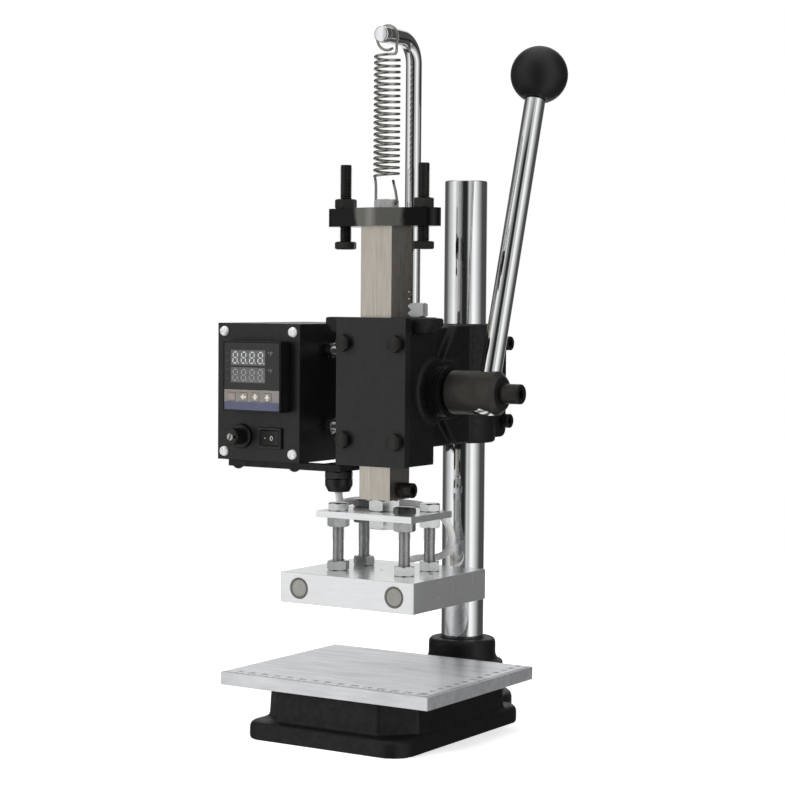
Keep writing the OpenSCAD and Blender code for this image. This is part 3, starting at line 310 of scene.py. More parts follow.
def finish_piece(name, mesh, node, material=None, smooth_angle=SMOOTH_ANGLE, replace=True):
    """A new piece that rides where a CAD node rides, and by default stands for it."""
    obj = place_object(name, mesh)
    mesh.set_sharp_from_angle(angle=smooth_angle)
    paint(obj, material or looks[slot_of[node]])
    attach(obj, body_of[node])
    if replace:
        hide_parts(node)
    return obj


def to_mesh(bm, name):
    mesh = bpy.data.meshes.new(name)
    bmesh.ops.recalc_face_normals(bm, faces=bm.faces)
    bm.to_mesh(mesh)
    bm.free()
    return mesh


def welded(node):
    """The CAD node's shape with its triangles joined."""
    bm = bmesh.new()
    bm.from_mesh(nodes[node].data)
    bmesh.ops.remove_doubles(bm, verts=bm.verts, dist=WELD)
    return bm


def weigh_normals(mesh):
    """Lets the large faces lead the shading, so that flat ones stay flat up to their rounded edges."""
    sums = [Vector() for _ in mesh.vertices]
    for polygon in mesh.polygons:
        polygon.use_smooth = True
        for v in polygon.vertices:
            sums[v] += polygon.normal * polygon.area
    mesh.normals_split_custom_set_from_vertices([tuple(v.normalized()) for v in sums])


def soften(node, width, flat_angle=math.radians(0.6), sharp_angle=math.radians(40)):
    """The node with its flat faces whole again and its sharp edges rounded by width."""
    bm = welded(node)
    bmesh.ops.dissolve_limit(bm, angle_limit=flat_angle, verts=bm.verts, edges=bm.edges)
    sharp = [e for e in bm.edges if len(e.link_faces) == 2 and e.calc_face_angle(0) > sharp_angle]
    bmesh.ops.bevel(bm, geom=sharp, offset=width, offset_type="OFFSET", segments=2, profile=0.5,
                    affect="EDGES", clamp_overlap=True)
    obj = finish_piece("soft_" + node, to_mesh(bm, node), node, smooth_angle=math.pi)
    weigh_normals(obj.data)
    return obj


def cast(node, grain, passes):
    """The node as a casting: its corners and its inner edges are rounded as sand moulds leave them."""
    obj = bpy.data.objects.new("work", to_mesh(welded(node), "cast_" + node))
    bpy.context.scene.collection.objects.link(obj)
    remesh = obj.modifiers.new("remesh", "REMESH")
    remesh.mode, remesh.voxel_size = "VOXEL", grain
    smooth = obj.modifiers.new("smooth", "SMOOTH")
    smooth.factor, smooth.iterations = 0.5, passes
    bpy.context.view_layer.update()
    result = bpy.data.meshes.new_from_object(obj.evaluated_get(bpy.context.evaluated_depsgraph_get()))
    bpy.data.objects.remove(obj)
    return finish_piece("cast_" + node, result, node, smooth_angle=math.radians(75))


def circle_ring(bm, r, z, place, segments=72):
    return [bm.verts.new(place @ Vector((r * math.cos(a), r * math.sin(a), z)))
            for a in (2 * math.pi * k / segments for k in range(segments))]


def bridge(bm, low, high):
    for k in range(len(low)):
        j = (k + 1) % len(low)
        bm.faces.new((low[k], low[j], high[j], high[k]))


def bridge_all(bm, rings):
    for low, high in zip(rings, rings[1:]):
        bridge(bm, low, high)


def lathe(bm, profile, place, segments=64):
    """Turns (radius, height) points in millimetres about the local Z axis. Ends on the axis are closed."""
    rings = [circle_ring(bm, r * MM, z * MM, place, segments if r else 1) for r, z in profile]
    for low, high in zip(rings, rings[1:]):
        for k in range(segments):
            j = (k + 1) % segments
            corners = [low[k % len(low)], low[j % len(low)], high[j % len(high)], high[k % len(high)]]
            corners = list(dict.fromkeys(corners))
            if len(corners) > 2:
                bm.faces.new(corners)


HEX_STEP = math.radians(60)
HEX_CONE, HEX_SOFT, HEX_BEVEL = math.tan(math.radians(30)), 0.02, 0.95


def hex_radius(angle, flats):
    """Distance from the centre to the side of a hexagon, in the direction of angle."""
    return flats / 2 / math.cos((angle + HEX_STEP / 2) % HEX_STEP - HEX_STEP / 2)


def hex_ring(bm, flats, z, place, share=1, drop=0, segments=72):
    """A ring of a hexagon. Outside of share of its size it drops as a cone does."""
    edge = flats / 2 * share
    verts = []
    for k in range(segments):
        a = 2 * math.pi * k / segments
        r = hex_radius(a, flats)
        verts.append(bm.verts.new(place @ Vector((r * math.cos(a), r * math.sin(a), z + drop * (r - edge)))))
    return verts


def hexagon(bm, flats, height, place, hole=0.0):
    """A bolt head in metres, or a nut if it has a hole. Its corners are turned down by a cone."""
    edge = flats / 2 * HEX_BEVEL
    soft = HEX_SOFT * flats
    rings = [circle_ring(bm, edge, 0, place), hex_ring(bm, flats, 0, place, HEX_BEVEL, HEX_CONE),
             hex_ring(bm, flats, height, place, HEX_BEVEL, -HEX_CONE), circle_ring(bm, edge, height, place)]
    if hole:
        rings += [circle_ring(bm, hole + soft, height, place), circle_ring(bm, hole, height - soft, place),
                  circle_ring(bm, hole, soft, place), circle_ring(bm, hole + soft, 0, place), rings[0]]
    else:
        bm.faces.new(rings[-1])
        bm.faces.new(rings[0])
    bridge_all(bm, rings)


def threaded(bm, d, pitch, length, place, segments=32, chamfer=0.0007):
    """A threaded shank in metres, from z = 0 down to -length. Its rows follow the helix."""
    depth = 0.5 * pitch
    profile = [(0.0, 0), (0.12, 0), (0.5, depth), (0.62, depth)]
    per_turn = len(profile)
    turns = math.ceil(length / pitch)
    rows = []
    for j in range(-per_turn, per_turn * turns + 1):
        share, sunk = profile[j % per_turn]
        row = []
        for k in range(segments):
            z = -(j // per_turn + share + k / segments) * pitch
            z = max(-length, min(0, z))
            r = d / 2 - max(sunk, min(depth, chamfer - (length + z)))
            a = 2 * math.pi * k / segments
            row.append(bm.verts.new(place @ Vector((r * math.cos(a), r * math.sin(a), z))))
        rows.append(row)
    for j in range(len(rows) - 1):
        for k in range(segments):
            if k + 1 < segments:
                bm.faces.new((rows[j][k], rows[j][k + 1], rows[j + 1][k + 1], rows[j + 1][k]))
            elif j + 1 + per_turn < len(rows):
                bm.faces.new((rows[j][k], rows[j + per_turn][0], rows[j + 1 + per_turn][0], rows[j + 1][k]))
    bm.faces.new(circle_ring(bm, d / 2 - depth, -length, place, segments))


def shank(bm, r, length, place, segments=32, bite=0.2, chamfer=0.0):
    """A plain bar from a head down to -length, in millimetres. It enters the head by bite."""
    foot = [(r - chamfer, -length), (r, chamfer - length)] if chamfer else [(r, -length)]
    lathe(bm, [(0, -length)] + foot + [(r, bite), (0, bite)], place, segments)


def rotate(degrees, axis="Z"):
    return Matrix.Rotation(math.radians(degrees), 4, axis)


def at(x, y, z, turn=None):
    """A place in millimetres, with a turn."""
    return Matrix.Translation(Vector((x, y, z)) * MM) @ (turn or Matrix.Identity(4))


ALONG_X, TO_LEFT = rotate(90, "Y"), rotate(-90, "Y")
TO_FRONT, DOWN = rotate(90, "X"), rotate(180, "X")


def arc(start, stop, step):
    """Angles in radians from start to before stop, which are in degrees."""
    return [math.radians(k) for k in range(start, stop, step)]


def low_high(node):
    """The lowest and highest corner of a node in millimetres."""
    low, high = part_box(node)
    return low / MM, high / MM


def middle(node):
    low, high = low_high(node)
    return (low + high) / 2


# Heater lead, a cord between the head and the plate
LEAD_D = 5.0
LEAD_ROUTE = [
    (-32.4, -6, 158.2), (-32.4, -5.9, 156.4), (-32.8, -4.7, 153.8), (-33.8, -2, 151.6), (-35.2, 2.5, 150),
    (-36.3, 8, 149.8), (-36.6, 14, 149.9), (-35.6, 20, 150), (-32.5, 25.5, 150), (-27, 28.6, 149.9),
    (-19, 28.9, 149.8), (-9, 27.4, 149.7), (1, 26.8, 149.7), (11, 27.8, 149), (19.8, 30, 146.3),
    (26.4, 32.5, 141), (29.8, 35.3, 133.8), (29.3, 38.5, 126), (25.3, 42.2, 119.2), (18.4, 46.3, 114.2),
    (9.6, 50.2, 111.2), (0.3, 53, 110), (-8.2, 54.2, 109), (-14.8, 54.4, 106.6), (-18.6, 54.4, 103),
    (-19.9, 54.4, 99.6), (-20, 54.4, 96.8)]


def catmull(points, steps):
    """The same smooth curve through the points that the CAD lead follows."""
    out = []
    last = len(points) - 1
    for i in range(last):
        a, b, c, d = (Vector(points[min(max(j, 0), last)]) for j in (i - 1, i, i + 1, i + 2))
        for k in range(steps):
            t = k / steps
            out.append(0.5 * (2 * b + (c - a) * t + (2 * a - 5 * b + 4 * c - d) * t * t
                              + (3 * b - a - 3 * c + d) * t ** 3))
    return out + [Vector(points[last])]


def swept(points, radius, sides=16):
    """A closed mesh tube along points, with its frame carried from ring to ring."""
    bm = bmesh.new()
    rings, side = [], None
    for i, p in enumerate(points):
        way = (points[min(i + 1, len(points) - 1)] - points[max(i - 1, 0)]).normalized()
        if side is None:
            side = way.cross(Vector((0, 0, 1)) if abs(way.z) < 0.9 else Vector((0, 1, 0)))
        side = (side - way * side.dot(way)).normalized()
        other = way.cross(side)
        rings.append([bm.verts.new((p + radius * (math.cos(a) * side + math.sin(a) * other)) * MM)
                      for a in (2 * math.pi * k / sides for k in range(sides))])
    bridge_all(bm, rings)
    bm.faces.new(rings[0])
    bm.faces.new(rings[-1])
    return to_mesh(bm, "tube")


lead_points = catmull(LEAD_ROUTE, 4)
lead = paint(place_object("lead_sleeve", swept(lead_points, LEAD_D / 2)), looks["silicone_white"])
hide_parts("heater_lead")
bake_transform(lead)
lead.visible_glossy = False


# Return spring
def spring_points():
    """Free end, hook through the anchor, 20 turns and ring around the rod, as the CAD wire runs."""
    coil_r, turns = 8.1, 20
    start, stop, coil_step = 205, 330 + 360 * turns, 15
    low, high = 368.3, 448.0
    leg, hook_z, corner, tail = 8.3, 350.3, 1.6, 15.6
    ring_mid, ring_from, ring_to, ring_step = 459.38, -20, 300, 16

    def coil(a):
        r = math.radians(a)
        rise = low + (high - low) * (a - start) / (stop - start)
        return Vector((coil_r * math.cos(r), coil_r * math.sin(r), rise))

    def way(a):
        r = math.radians(a)
        return Vector((-math.sin(r), math.cos(r), 0))

    def bezier(a, b, c, d, n=8):
        return [(1 - t) ** 3 * a + 3 * (1 - t) ** 2 * t * b + 3 * (1 - t) * t * t * c + t ** 3 * d
                for t in (k / n for k in range(n + 1))]

    def bend(a):
        return corner * (1 - math.cos(a)), corner * (1 - math.sin(a))

    lean = coil_r * 0.4
    points = [Vector((leg - lean, 0, hook_z + tail)), Vector((leg - lean / 3, 0, hook_z + tail / 2))]
    points += [Vector((leg - bend(a)[0], 0, hook_z + bend(a)[1])) for a in arc(0, 91, 15)]
    points += [Vector((-leg + bend(a)[1], 0, hook_z + bend(a)[0])) for a in arc(0, 91, 15)]
    foot, head = coil(start), coil(stop)
    points += bezier(Vector((-leg, 0, foot.z - coil_r)), Vector((-leg, 0, foot.z - coil_r / 3)),
                     foot - way(start) * coil_r / 3, foot)
    points += [coil(start + coil_step * k) for k in range(1, int((stop - start) / coil_step))]
    ring = [Vector((coil_r * math.cos(a), 0, ring_mid + coil_r * math.sin(a)))
            for a in arc(ring_from, ring_to + 1, ring_step)]
    tilt = math.radians(ring_from)
    ring_way = Vector((-math.sin(tilt), 0, math.cos(tilt)))
    points += bezier(head, head + way(stop) * coil_r / 2, ring[0] - ring_way * coil_r / 2, ring[0])
    return points + ring[1:]


WIRE_D = 1.8
spring = paint(place_object("spring_wire", swept(spring_points(), WIRE_D / 2, 10)), looks["spring_steel"])
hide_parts("tension_spring")
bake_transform(spring)

# Castings and plates
cast("base_casting", grain=0.0011, passes=5)
cast("head_casting", grain=0.0009, passes=4)
# How far each piece's edges are rounded, in millimetres
EDGES = {
    "front_cover": 0.9, "work_table": 0.5, "heating_plate": 0.5, "upper_plate": 0.4, "ram": 0.3,
    "stop_plate": 0.6, "control_box": 0.6, "box_front_panel": 0.3, "temperature_controller": 0.6,
    "key_strip": 0.1, "key_set": 0.12, "key_left": 0.12, "key_down": 0.12, "key_up": 0.12,
    "switch_frame": 0.5, "switch_rocker": 0.4, "box_bracket": 0.6, "terminal_block": 0.5,
    "solid_state_relay": 1, "hub": 0.9}
for node, edge in EDGES.items():
    soften(node, edge * MM)


# Turned pieces
def turned(node, place, profile, segments=96):
    bm = bmesh.new()
    lathe(bm, profile, place, segments)
    return finish_piece("turned_" + node, to_mesh(bm, node), node)


def rounded_bar(r, length, c=0.8):
    """Outline of a bar with small round shoulders at both ends."""
    shoulder = [(math.cos(a), math.sin(a)) for a in arc(0, 91, 30)]
    foot = [(r - c + c * s, c - c * k) for k, s in shoulder]
    head = [(r - c + c * k, length - c + c * s) for k, s in shoulder]
    return [(0, 0)] + foot + head + [(0, length)]


col_low, col_high = low_high("column")
col_mid = middle("column")
turned("column", at(col_mid.x, col_mid.y, col_low.z),
       rounded_bar((col_high.x - col_low.x) / 2, col_high.z - col_low.z, 1.0), 128)

PINION_Y, PINION_Z, LEAN = 22.725, 226.3, 17.2
HUB_RIGHT = low_high("hub")[1].x
LEVER_INSET, LEVER_L, LEVER_FOOT, ROD_R = 11.5, 223.6, 13.6, 7.15
BALL_R, BALL_FLAT, BALL_EDGE = 19.5, 8.0, 0.6
lever_place = at(HUB_RIGHT - LEVER_INSET, PINION_Y, PINION_Z, rotate(-LEAN, "X"))
ball_foot = LEVER_L - math.sqrt(BALL_R ** 2 - BALL_FLAT ** 2)
turned("lever_rod", lever_place @ at(0, 0, -LEVER_FOOT), rounded_bar(ROD_R, LEVER_FOOT + ball_foot))
ball = [(0, ball_foot), (BALL_FLAT - BALL_EDGE, ball_foot)]
ball += [(BALL_R * math.sin(a), LEVER_L - BALL_R * math.cos(a)) for a in arc(27, 180, 3)]
turned("lever_ball", lever_place, ball + [(0, LEVER_L + BALL_R)])

# A socket's lip and floor as shares of its width and of the head's height, and its mouth's depth
SOCKET_LIP, SOCKET_FLOOR, SOCKET_MOUTH = 1.22, 0.45, 0.25
# Radius, height and key width of the socket heads
END_SCREW, SOCKET6 = (6.6, 14.2, 6), (5, 6, 5)


def socket_head(bm, r, height, key, place, soft=0.5):
    """A round head with a hexagonal socket in its top, in millimetres."""
    shoulder = [(r - soft + soft * math.sin(a), height - soft + soft * math.cos(a)) for a in arc(0, 91, 30)]
    outline = [(r - soft * 0.5, 0), (r, soft * 0.5)] + shoulder[::-1] + [(key / 2 * SOCKET_LIP, height)]
    rings = [circle_ring(bm, a * MM, b * MM, place) for a, b in outline]
    rings += [hex_ring(bm, key * MM, z * MM, place) for z in (height - SOCKET_MOUTH, height * SOCKET_FLOOR)]
    bridge_all(bm, rings)
    bm.faces.new(rings[-1])
    bm.faces.new(rings[0])


bm = bmesh.new()
socket_head(bm, *END_SCREW, at(HUB_RIGHT, PINION_Y, PINION_Z, ALONG_X), soft=0.9)
finish_piece("end_screw", to_mesh(bm, "end_screw"), "hub_screw")

# Spring rod: the upright, the bend and the arm with a round end
ROD_D, BEND, ARM_Z, ROD_Y, ROD_FRONT, ROD_SHOULDER = 10.8, 16.0, 461.0, 33.0, -8.5, 1.0
rod_line = [Vector((0, ROD_Y, low_high("spring_rod")[0].z)), Vector((0, ROD_Y, ARM_Z - BEND))]
rod_line += [Vector((0, ROD_Y - BEND + BEND * math.cos(a), ARM_Z - BEND + BEND * math.sin(a)))
             for a in arc(6, 91, 6)]
rod_line += [Vector((0, ROD_FRONT + ROD_SHOULDER, ARM_Z))]


def rod_mesh(points, radius, sides, shoulder):
    """A bar along points in the plane x = 0, with a round shoulder at its far end."""
    bm = bmesh.new()
    way_end = (points[-1] - points[-2]).normalized()
    line = [(p, radius) for p in points]
    # shares of the shoulder's length, and of it what the radius loses there
    for share, loss in ((0.5, 0.15), (0.87, 0.5), (1, 1)):
        line.append((points[-1] + way_end * shoulder * share, radius - shoulder * loss))
    rings = []
    across = Vector((1, 0, 0))
    for i, (p, r) in enumerate(line):
        other = (line[min(i + 1, len(line) - 1)][0] - line[max(i - 1, 0)][0]).normalized().cross(across)
        rings.append([bm.verts.new((p + r * (math.cos(a) * across + math.sin(a) * other)) * MM)
                      for a in (2 * math.pi * k / sides for k in range(sides))])
    bridge_all(bm, rings)
    bm.faces.new(rings[0])
    bm.faces.new(rings[-1])
    return to_mesh(bm, "rod")


finish_piece("bent_rod", rod_mesh(rod_line, ROD_D / 2, 72, ROD_SHOULDER), "spring_rod",
             smooth_angle=math.radians(40))


# Bolts and nuts
def bolts(name, node, build, **more):
    bm = bmesh.new()
    build(bm)
    return finish_piece(name, to_mesh(bm, name), node, **more)


def thread(name, node, build):
    """Threaded shanks, shaded softly, beside the heads that stand for the node."""
    return bolts(name, node, build, smooth_angle=THREAD_ANGLE, replace=False)


# Width over the flats and height of the heads and nuts, and the radius of the nuts' holes
HEAD6, HEAD8, HEAD12 = (10 * MM, 4.0 * MM), (13 * MM, 5.2 * MM), (19 * MM, 7.5 * MM)
NUT6, NUT8, NUT12, ROD_NUT = (10 * MM, 5 * MM), (13 * MM, 6.5 * MM), (19 * MM, 8 * MM), (19 * MM, 9.8 * MM)
HOLE6, HOLE8, HOLE12, ROD_HOLE = 3.05 * MM, 4.05 * MM, 6.05 * MM, 5.45 * MM
# Diameter and pitch of the threads
THREAD6, THREAD8 = (6 * MM, 1.0 * MM), (8 * MM, 1.25 * MM)
COVER_X, COVER_IN, COVER_BOLT_L, FRONT_Y = 20.3, 17, 16, -18.1
head_low, head_high = low_high("head_casting")


def cover_bolts(bm):
    for x in (-COVER_X, COVER_X):
        for z in (head_low.z + COVER_IN, head_high.z - COVER_IN):
            place = at(x, FRONT_Y, z, TO_FRONT)
            hexagon(bm, *HEAD6, place)
            shank(bm, 3, COVER_BOLT_L, place, segments=24, bite=0.5)


bolts("cover_hex_bolts", "cover_bolts", cover_bolts)
plate_top = low_high("heating_plate")[1].z
upper_low, upper_high = (corner.z for corner in low_high("upper_plate"))
LEVEL_X, LEVEL_Y, LEVEL_BITE = 26.0, 15.7, 11.9
level_spots = [(sx * LEVEL_X, sy * LEVEL_Y) for sx in (-1, 1) for sy in (-1, 1)]


def levelling(bm):
    for (x, y), turn in zip(level_spots, (30, 3, 57, 27)):
        hexagon(bm, *HEAD8, at(x, y, upper_high, rotate(turn)))


def levelling_threads(bm):
    for x, y in level_spots:
        threaded(bm, *THREAD8, (upper_high - plate_top + LEVEL_BITE) * MM, at(x, y, upper_high))


def nuts_at(spots, z, size, hole, turns):
    """Nuts with their undersides at z, each turned as the photo shows it."""
    def build(bm):
        for (x, y), turn in zip(spots, turns):
            hexagon(bm, *size, at(x, y, z, rotate(turn)), hole)
    return build


SPIGOT_L = 30.2


def spigot(bm):
    place = at(0, 0, upper_low, DOWN @ rotate(30))
    hexagon(bm, *HEAD12, place)
    shank(bm, 6, SPIGOT_L, place, segments=48, bite=0.5, chamfer=0.5)


bolts("levelling_screws", "levelling_bolts", levelling)
paint(thread("levelling_threads", "levelling_bolts", levelling_threads), EXTRA["thread_zinc"])
bolts("nuts_under_plate", "upper_jam_nuts",
      nuts_at(level_spots, upper_low - NUT8[1] / MM, NUT8, HOLE8, (13, 50, 15, 28)))
bolts("nuts_on_heater", "lower_jam_nuts", nuts_at(level_spots, plate_top, NUT8, HOLE8, (16, 44, 30, 33)))
bolts("foot_bolt", "spigot_bolt", spigot)
bolts("foot_nut", "spigot_nut", nuts_at([(0, 0)], upper_high, NUT12, HOLE12, (27,)))
bolts("rod_nut", "spring_rod_nut",
      nuts_at([(0, ROD_Y)], low_high("spring_rod_nut")[0].z, ROD_NUT, ROD_HOLE, (14,)),
      material=looks["zinc"])

STOP_X, STOP_Y, STOP_TURN = 30.5, -2.5, 20
stop_low, stop_high = low_high("stop_bolt_left")
stop_head = HEAD8[1] / MM
for side, word in ((-1, "left"), (1, "right")):
    place = at(side * STOP_X, STOP_Y, stop_low.z + stop_head, DOWN)
    stop_l = (stop_high.z - stop_low.z - stop_head) * MM
    bolts("stop_screw_" + word, "stop_bolt_" + word,
          lambda bm: hexagon(bm, *HEAD8, place @ rotate(STOP_TURN * side)))
    thread("stop_thread_" + word, "stop_bolt_" + word,
           lambda bm: threaded(bm, *THREAD8, stop_l, place))
bolts("stop_nuts", "stop_lock_nuts",
      nuts_at([(-STOP_X, STOP_Y), (STOP_X, STOP_Y)], low_high("stop_plate")[1].z, NUT8, HOLE8, (17, 34)))

STUD_Y, STUD_RISE, STUD_L, STUD_IN, STUD_TURN = 16.0, 25.9, 50, 9, 14
BOX_RIGHT, GUIDE_X, LEG_T, BOX_WALL = -56.5, -24.5, 2.8, 1.5
stud_heights = [PINION_Z + s * STUD_RISE for s in (-1, 1)]
nut6_h = NUT6[1] / MM
stud_nut_places = (BOX_RIGHT - BOX_WALL - nut6_h, BOX_RIGHT, GUIDE_X - LEG_T - nut6_h)


def studs(bm):
    for z in stud_heights:
        threaded(bm, *THREAD6, STUD_L * MM, at(BOX_RIGHT - STUD_IN, STUD_Y, z, TO_LEFT), segments=24)


def stud_nuts(bm):
    for z in stud_heights:
        for i, x in enumerate(stud_nut_places):
            hexagon(bm, *NUT6, at(x, STUD_Y, z, ALONG_X @ rotate(STUD_TURN * i)), HOLE6)


bolts("box_stud_rods", "box_studs", studs, smooth_angle=THREAD_ANGLE)
bolts("box_stud_nuts", "box_nuts", stud_nuts)

CLAMP_X, CLAMP_Y, CLAMP_IN, CLAMP_L = 15, 132.5, 14, 29
SLEEVE_FROM, SLEEVE_TO = 10, 93.2


def clamp_screws(bm):
    for rise in (SLEEVE_FROM + CLAMP_IN, SLEEVE_TO - CLAMP_IN):
        place = at(CLAMP_X, CLAMP_Y, head_low.z + rise, ALONG_X)
        socket_head(bm, *SOCKET6, place)
        shank(bm, 3, CLAMP_L, place)


RAM_NUT_X, RAM_SCREW_L = 12, 10.8


def ram_screw(bm):
    mid = middle("ram_set_screw")
    hexagon(bm, *NUT6, at(RAM_NUT_X, mid.y, mid.z, ALONG_X), HOLE6)
    place = at(RAM_NUT_X + nut6_h, mid.y, mid.z, ALONG_X)
    socket_head(bm, *SOCKET6, place)
    shank(bm, 3, RAM_SCREW_L, place)


bolts("clamp_socket_screws", "clamp_screws", clamp_screws)
bolts("ram_clamp_screw", "ram_set_screw", ram_screw)

# The recess's depth and the radius of its floor, as shares of the head's height and radius
CROSS_DEPTH, CROSS_FOOT = 0.3, 0.12
# Rings of the head as shares of its radius and height, and how wide the recess's arms are in them
DOME = ((1, 0, 0), (1, 0.25, 0), (0.93, 0.62, 0), (0.78, 0.85, 0), (0.55, 0.97, 0.35), (0.3, 1.0, 0.6))


def cross_head(bm, r, height, place, segments=48):
    """A domed head with a cross recess, cut as four sunk arms."""
    rings = []
    for share, rise, arm in DOME:
        ring = []
        for k in range(segments):
            a = 2 * math.pi * k / segments
            z = height * (rise - (CROSS_DEPTH if abs(math.sin(2 * a)) < arm else 0))
            ring.append(bm.verts.new(place @ Vector((share * r * math.cos(a), share * r * math.sin(a), z))))
        rings.append(ring)
    rings.append(circle_ring(bm, r * CROSS_FOOT, height * (1 - CROSS_DEPTH), place, segments))
    bridge_all(bm, rings)
    bm.faces.new(rings[-1])
    bm.faces.new(rings[0])


PANEL_IN, PANEL_HEAD_R, PANEL_HEAD_H, PANEL_SCREW_L, PANEL_TURNS = 5.6, 3.45, 2.2, 12, (8, 39, 70, 101)
panel_low, panel_high = low_high("box_front_panel")
panel_spots = [(x, z) for x in (panel_low.x + PANEL_IN, panel_high.x - PANEL_IN)
               for z in (panel_low.z + PANEL_IN, panel_high.z - PANEL_IN)]


def panel_screws(bm):
    for (x, z), turn in zip(panel_spots, PANEL_TURNS):
        place = at(x, panel_low.y, z, TO_FRONT @ rotate(turn))
        cross_head(bm, PANEL_HEAD_R * MM, PANEL_HEAD_H * MM, place)
        shank(bm, 1.5, PANEL_SCREW_L, place, segments=16, bite=0.3)


bolts("panel_cross_screws", "panel_screws", panel_screws, smooth_angle=math.radians(50))

# Marks on the display, keys, switch and table
SEGMENTS = {"a": (0, 1), "b": (1, 0.5), "c": (1, -0.5), "d": (0, -1),
            "e": (-1, -0.5), "f": (-1, 0.5), "g": (0, 0)}
# How far marks stand out of a face, in millimetres
THIN_MARK, THICK_MARK, INSERT_RISE, INK = 0.05, 0.06, 0.3, 0.02


def slab(bm, corners, place, depth):
    """A thin plate over the corners, depth thick to both sides, facing local +Z. Millimetres."""
    low, high = ([bm.verts.new(place @ Vector((x * MM, y * MM, z * MM))) for x, y in corners]
                 for z in (-depth, depth))
    bridge(bm, low, high)
    bm.faces.new(high)
    bm.faces.new(low)


def mark(name, node, bm, tone):
    """Marks as a piece of their own on a node."""
    return finish_piece(name, to_mesh(bm, name), node, EXTRA[tone], replace=False)


def panel_mark(name, node, rows, face_y, tone, depth=THIN_MARK):
    """Plates on a face that looks to the front. rows holds corner lists as (x, z)."""
    bm = bmesh.new()
    for corners in rows:
        slab(bm, corners, at(0, face_y, 0, TO_FRONT), depth)
    return mark(name, node, bm, tone)


def rect(x, z, w, h):
    return [(x - w / 2, z - h / 2), (x + w / 2, z - h / 2), (x + w / 2, z + h / 2), (x - w / 2, z + h / 2)]


# Places on the controller, from the left and the top of its bezel
WINDOW_X, WINDOW_DROPS, WIN_W, WIN_H = 21.0, (11.4, 23.1), 28.6, 10.3
DIGIT_X, DIGIT_STEP, DIGIT_W, DIGIT_H, DIGIT_T, DIGIT_SLANT = 10.7, 7.0, 3.6, 7.4, 0.85, 0.25
LAMP_X, LAMP_DROPS, LAMP_W, LAMP_H = 3.6, (8.5, 13.5, 19.5, 25.5), 2.2, 0.9
UNIT_BARS = ((38.2, 3.6, 0.9, 0.9), (39.8, 3.0, 0.5, 2.4), (40.6, 4.0, 1.4, 0.5), (40.4, 3.0, 1.0, 0.4))
BAND_RISE, BAND_IN, BAND_H = 2.85, 0.2, 5.4
bezel_low, bezel_high = low_high("temperature_controller")
FACE_LEFT, FACE_TOP = bezel_low.x, bezel_high.z
window_y = low_high("display_window")[0].y
window_rows = [(FACE_LEFT + WINDOW_X, FACE_TOP - drop) for drop in WINDOW_DROPS]
panel_mark("display_fields", "display_window", [rect(x, z, WIN_W, WIN_H) for x, z in window_rows],
           window_y, "window_grey")


def digit(x, z, w, h, t):
    """Seven bars and a point, slightly slanted."""
    out = []
    for px, pz in SEGMENTS.values():
        cx, cz = x + px * w / 2 + pz * DIGIT_SLANT, z + pz * h / 2
        if px == 0:
            left, right = cx - w / 2 + t * 0.6, cx + w / 2 - t * 0.6
            out.append([(left, cz), (left + t * 0.5, cz - t / 2), (right - t * 0.5, cz - t / 2),
                        (right, cz), (right - t * 0.5, cz + t / 2), (left + t * 0.5, cz + t / 2)])
        else:
            q, top = h / 4, cx + 0.1
            out.append([(cx, cz - q + t * 0.5), (cx + t / 2, cz - q + t), (top + t / 2, cz + q - t),
                        (top, cz + q - t * 0.5), (top - t / 2, cz + q - t), (cx - t / 2, cz - q + t)])
    return out + [rect(x + w / 2 + t * 1.2, z - h / 2, t * 0.9, t * 0.9)]


for (x, z), word, tone in zip(window_rows, ("upper", "lower"), ("digit_grey", "dim_digit")):
    bars = [bar for k in range(4)
            for bar in digit(x - DIGIT_X + DIGIT_STEP * k, z, DIGIT_W, DIGIT_H, DIGIT_T)]
    panel_mark(word + "_digits", "display_window", bars, window_y - THIN_MARK, tone)
lamp_rows = [rect(FACE_LEFT + LAMP_X, FACE_TOP - drop, LAMP_W, LAMP_H) for drop in LAMP_DROPS]
panel_mark("display_lamps", "display_window", lamp_rows, window_y, "mark_grey")
unit_rows = [rect(FACE_LEFT + x, row_z + rise, w, h)
             for _, row_z in window_rows for x, rise, w, h in UNIT_BARS]
panel_mark("display_units", "display_window", unit_rows, window_y, "unit_grey")
strip_low, strip_high = low_high("key_strip")
band = rect((strip_low.x + strip_high.x) / 2, strip_low.z + BAND_RISE,
            strip_high.x - strip_low.x - BAND_IN, BAND_H)
panel_mark("lower_band", "key_strip", [band], strip_low.y, "lower_band", THICK_MARK)

ARROW_LEFT = [[(-1.7, 0), (0.3, -1.5), (0.3, 1.5)], [(0.5, -0.5), (1.8, -0.5), (1.8, 0.5), (0.5, 0.5)]]
ARROW_DOWN = [[(0, -1.6), (1.6, 0.5), (-1.6, 0.5)], [(-0.5, 0.6), (0.5, 0.6), (0.5, 1.7), (-0.5, 1.7)]]
ARROW_UP = [[(0, 1.6), (-1.6, -0.5), (1.6, -0.5)], [(-0.5, -0.6), (-0.5, -1.7), (0.5, -1.7), (0.5, -0.6)]]
OVAL = [[(2.0 * math.cos(a), 1.35 * math.sin(a)) for a in arc(0, 360, 15)]]
KEY_MARK_SIZE = 1.3
for node, shapes, tone in (("key_set", OVAL, "key_pink"), ("key_left", ARROW_LEFT, "mark_light"),
                           ("key_down", ARROW_DOWN, "mark_light"), ("key_up", ARROW_UP, "mark_light")):
    mid = middle(node)
    rows = [[(mid.x + a * KEY_MARK_SIZE, mid.z + b * KEY_MARK_SIZE) for a, b in shape] for shape in shapes]
    panel_mark("mark_" + node, node, rows, low_high(node)[0].y, tone)
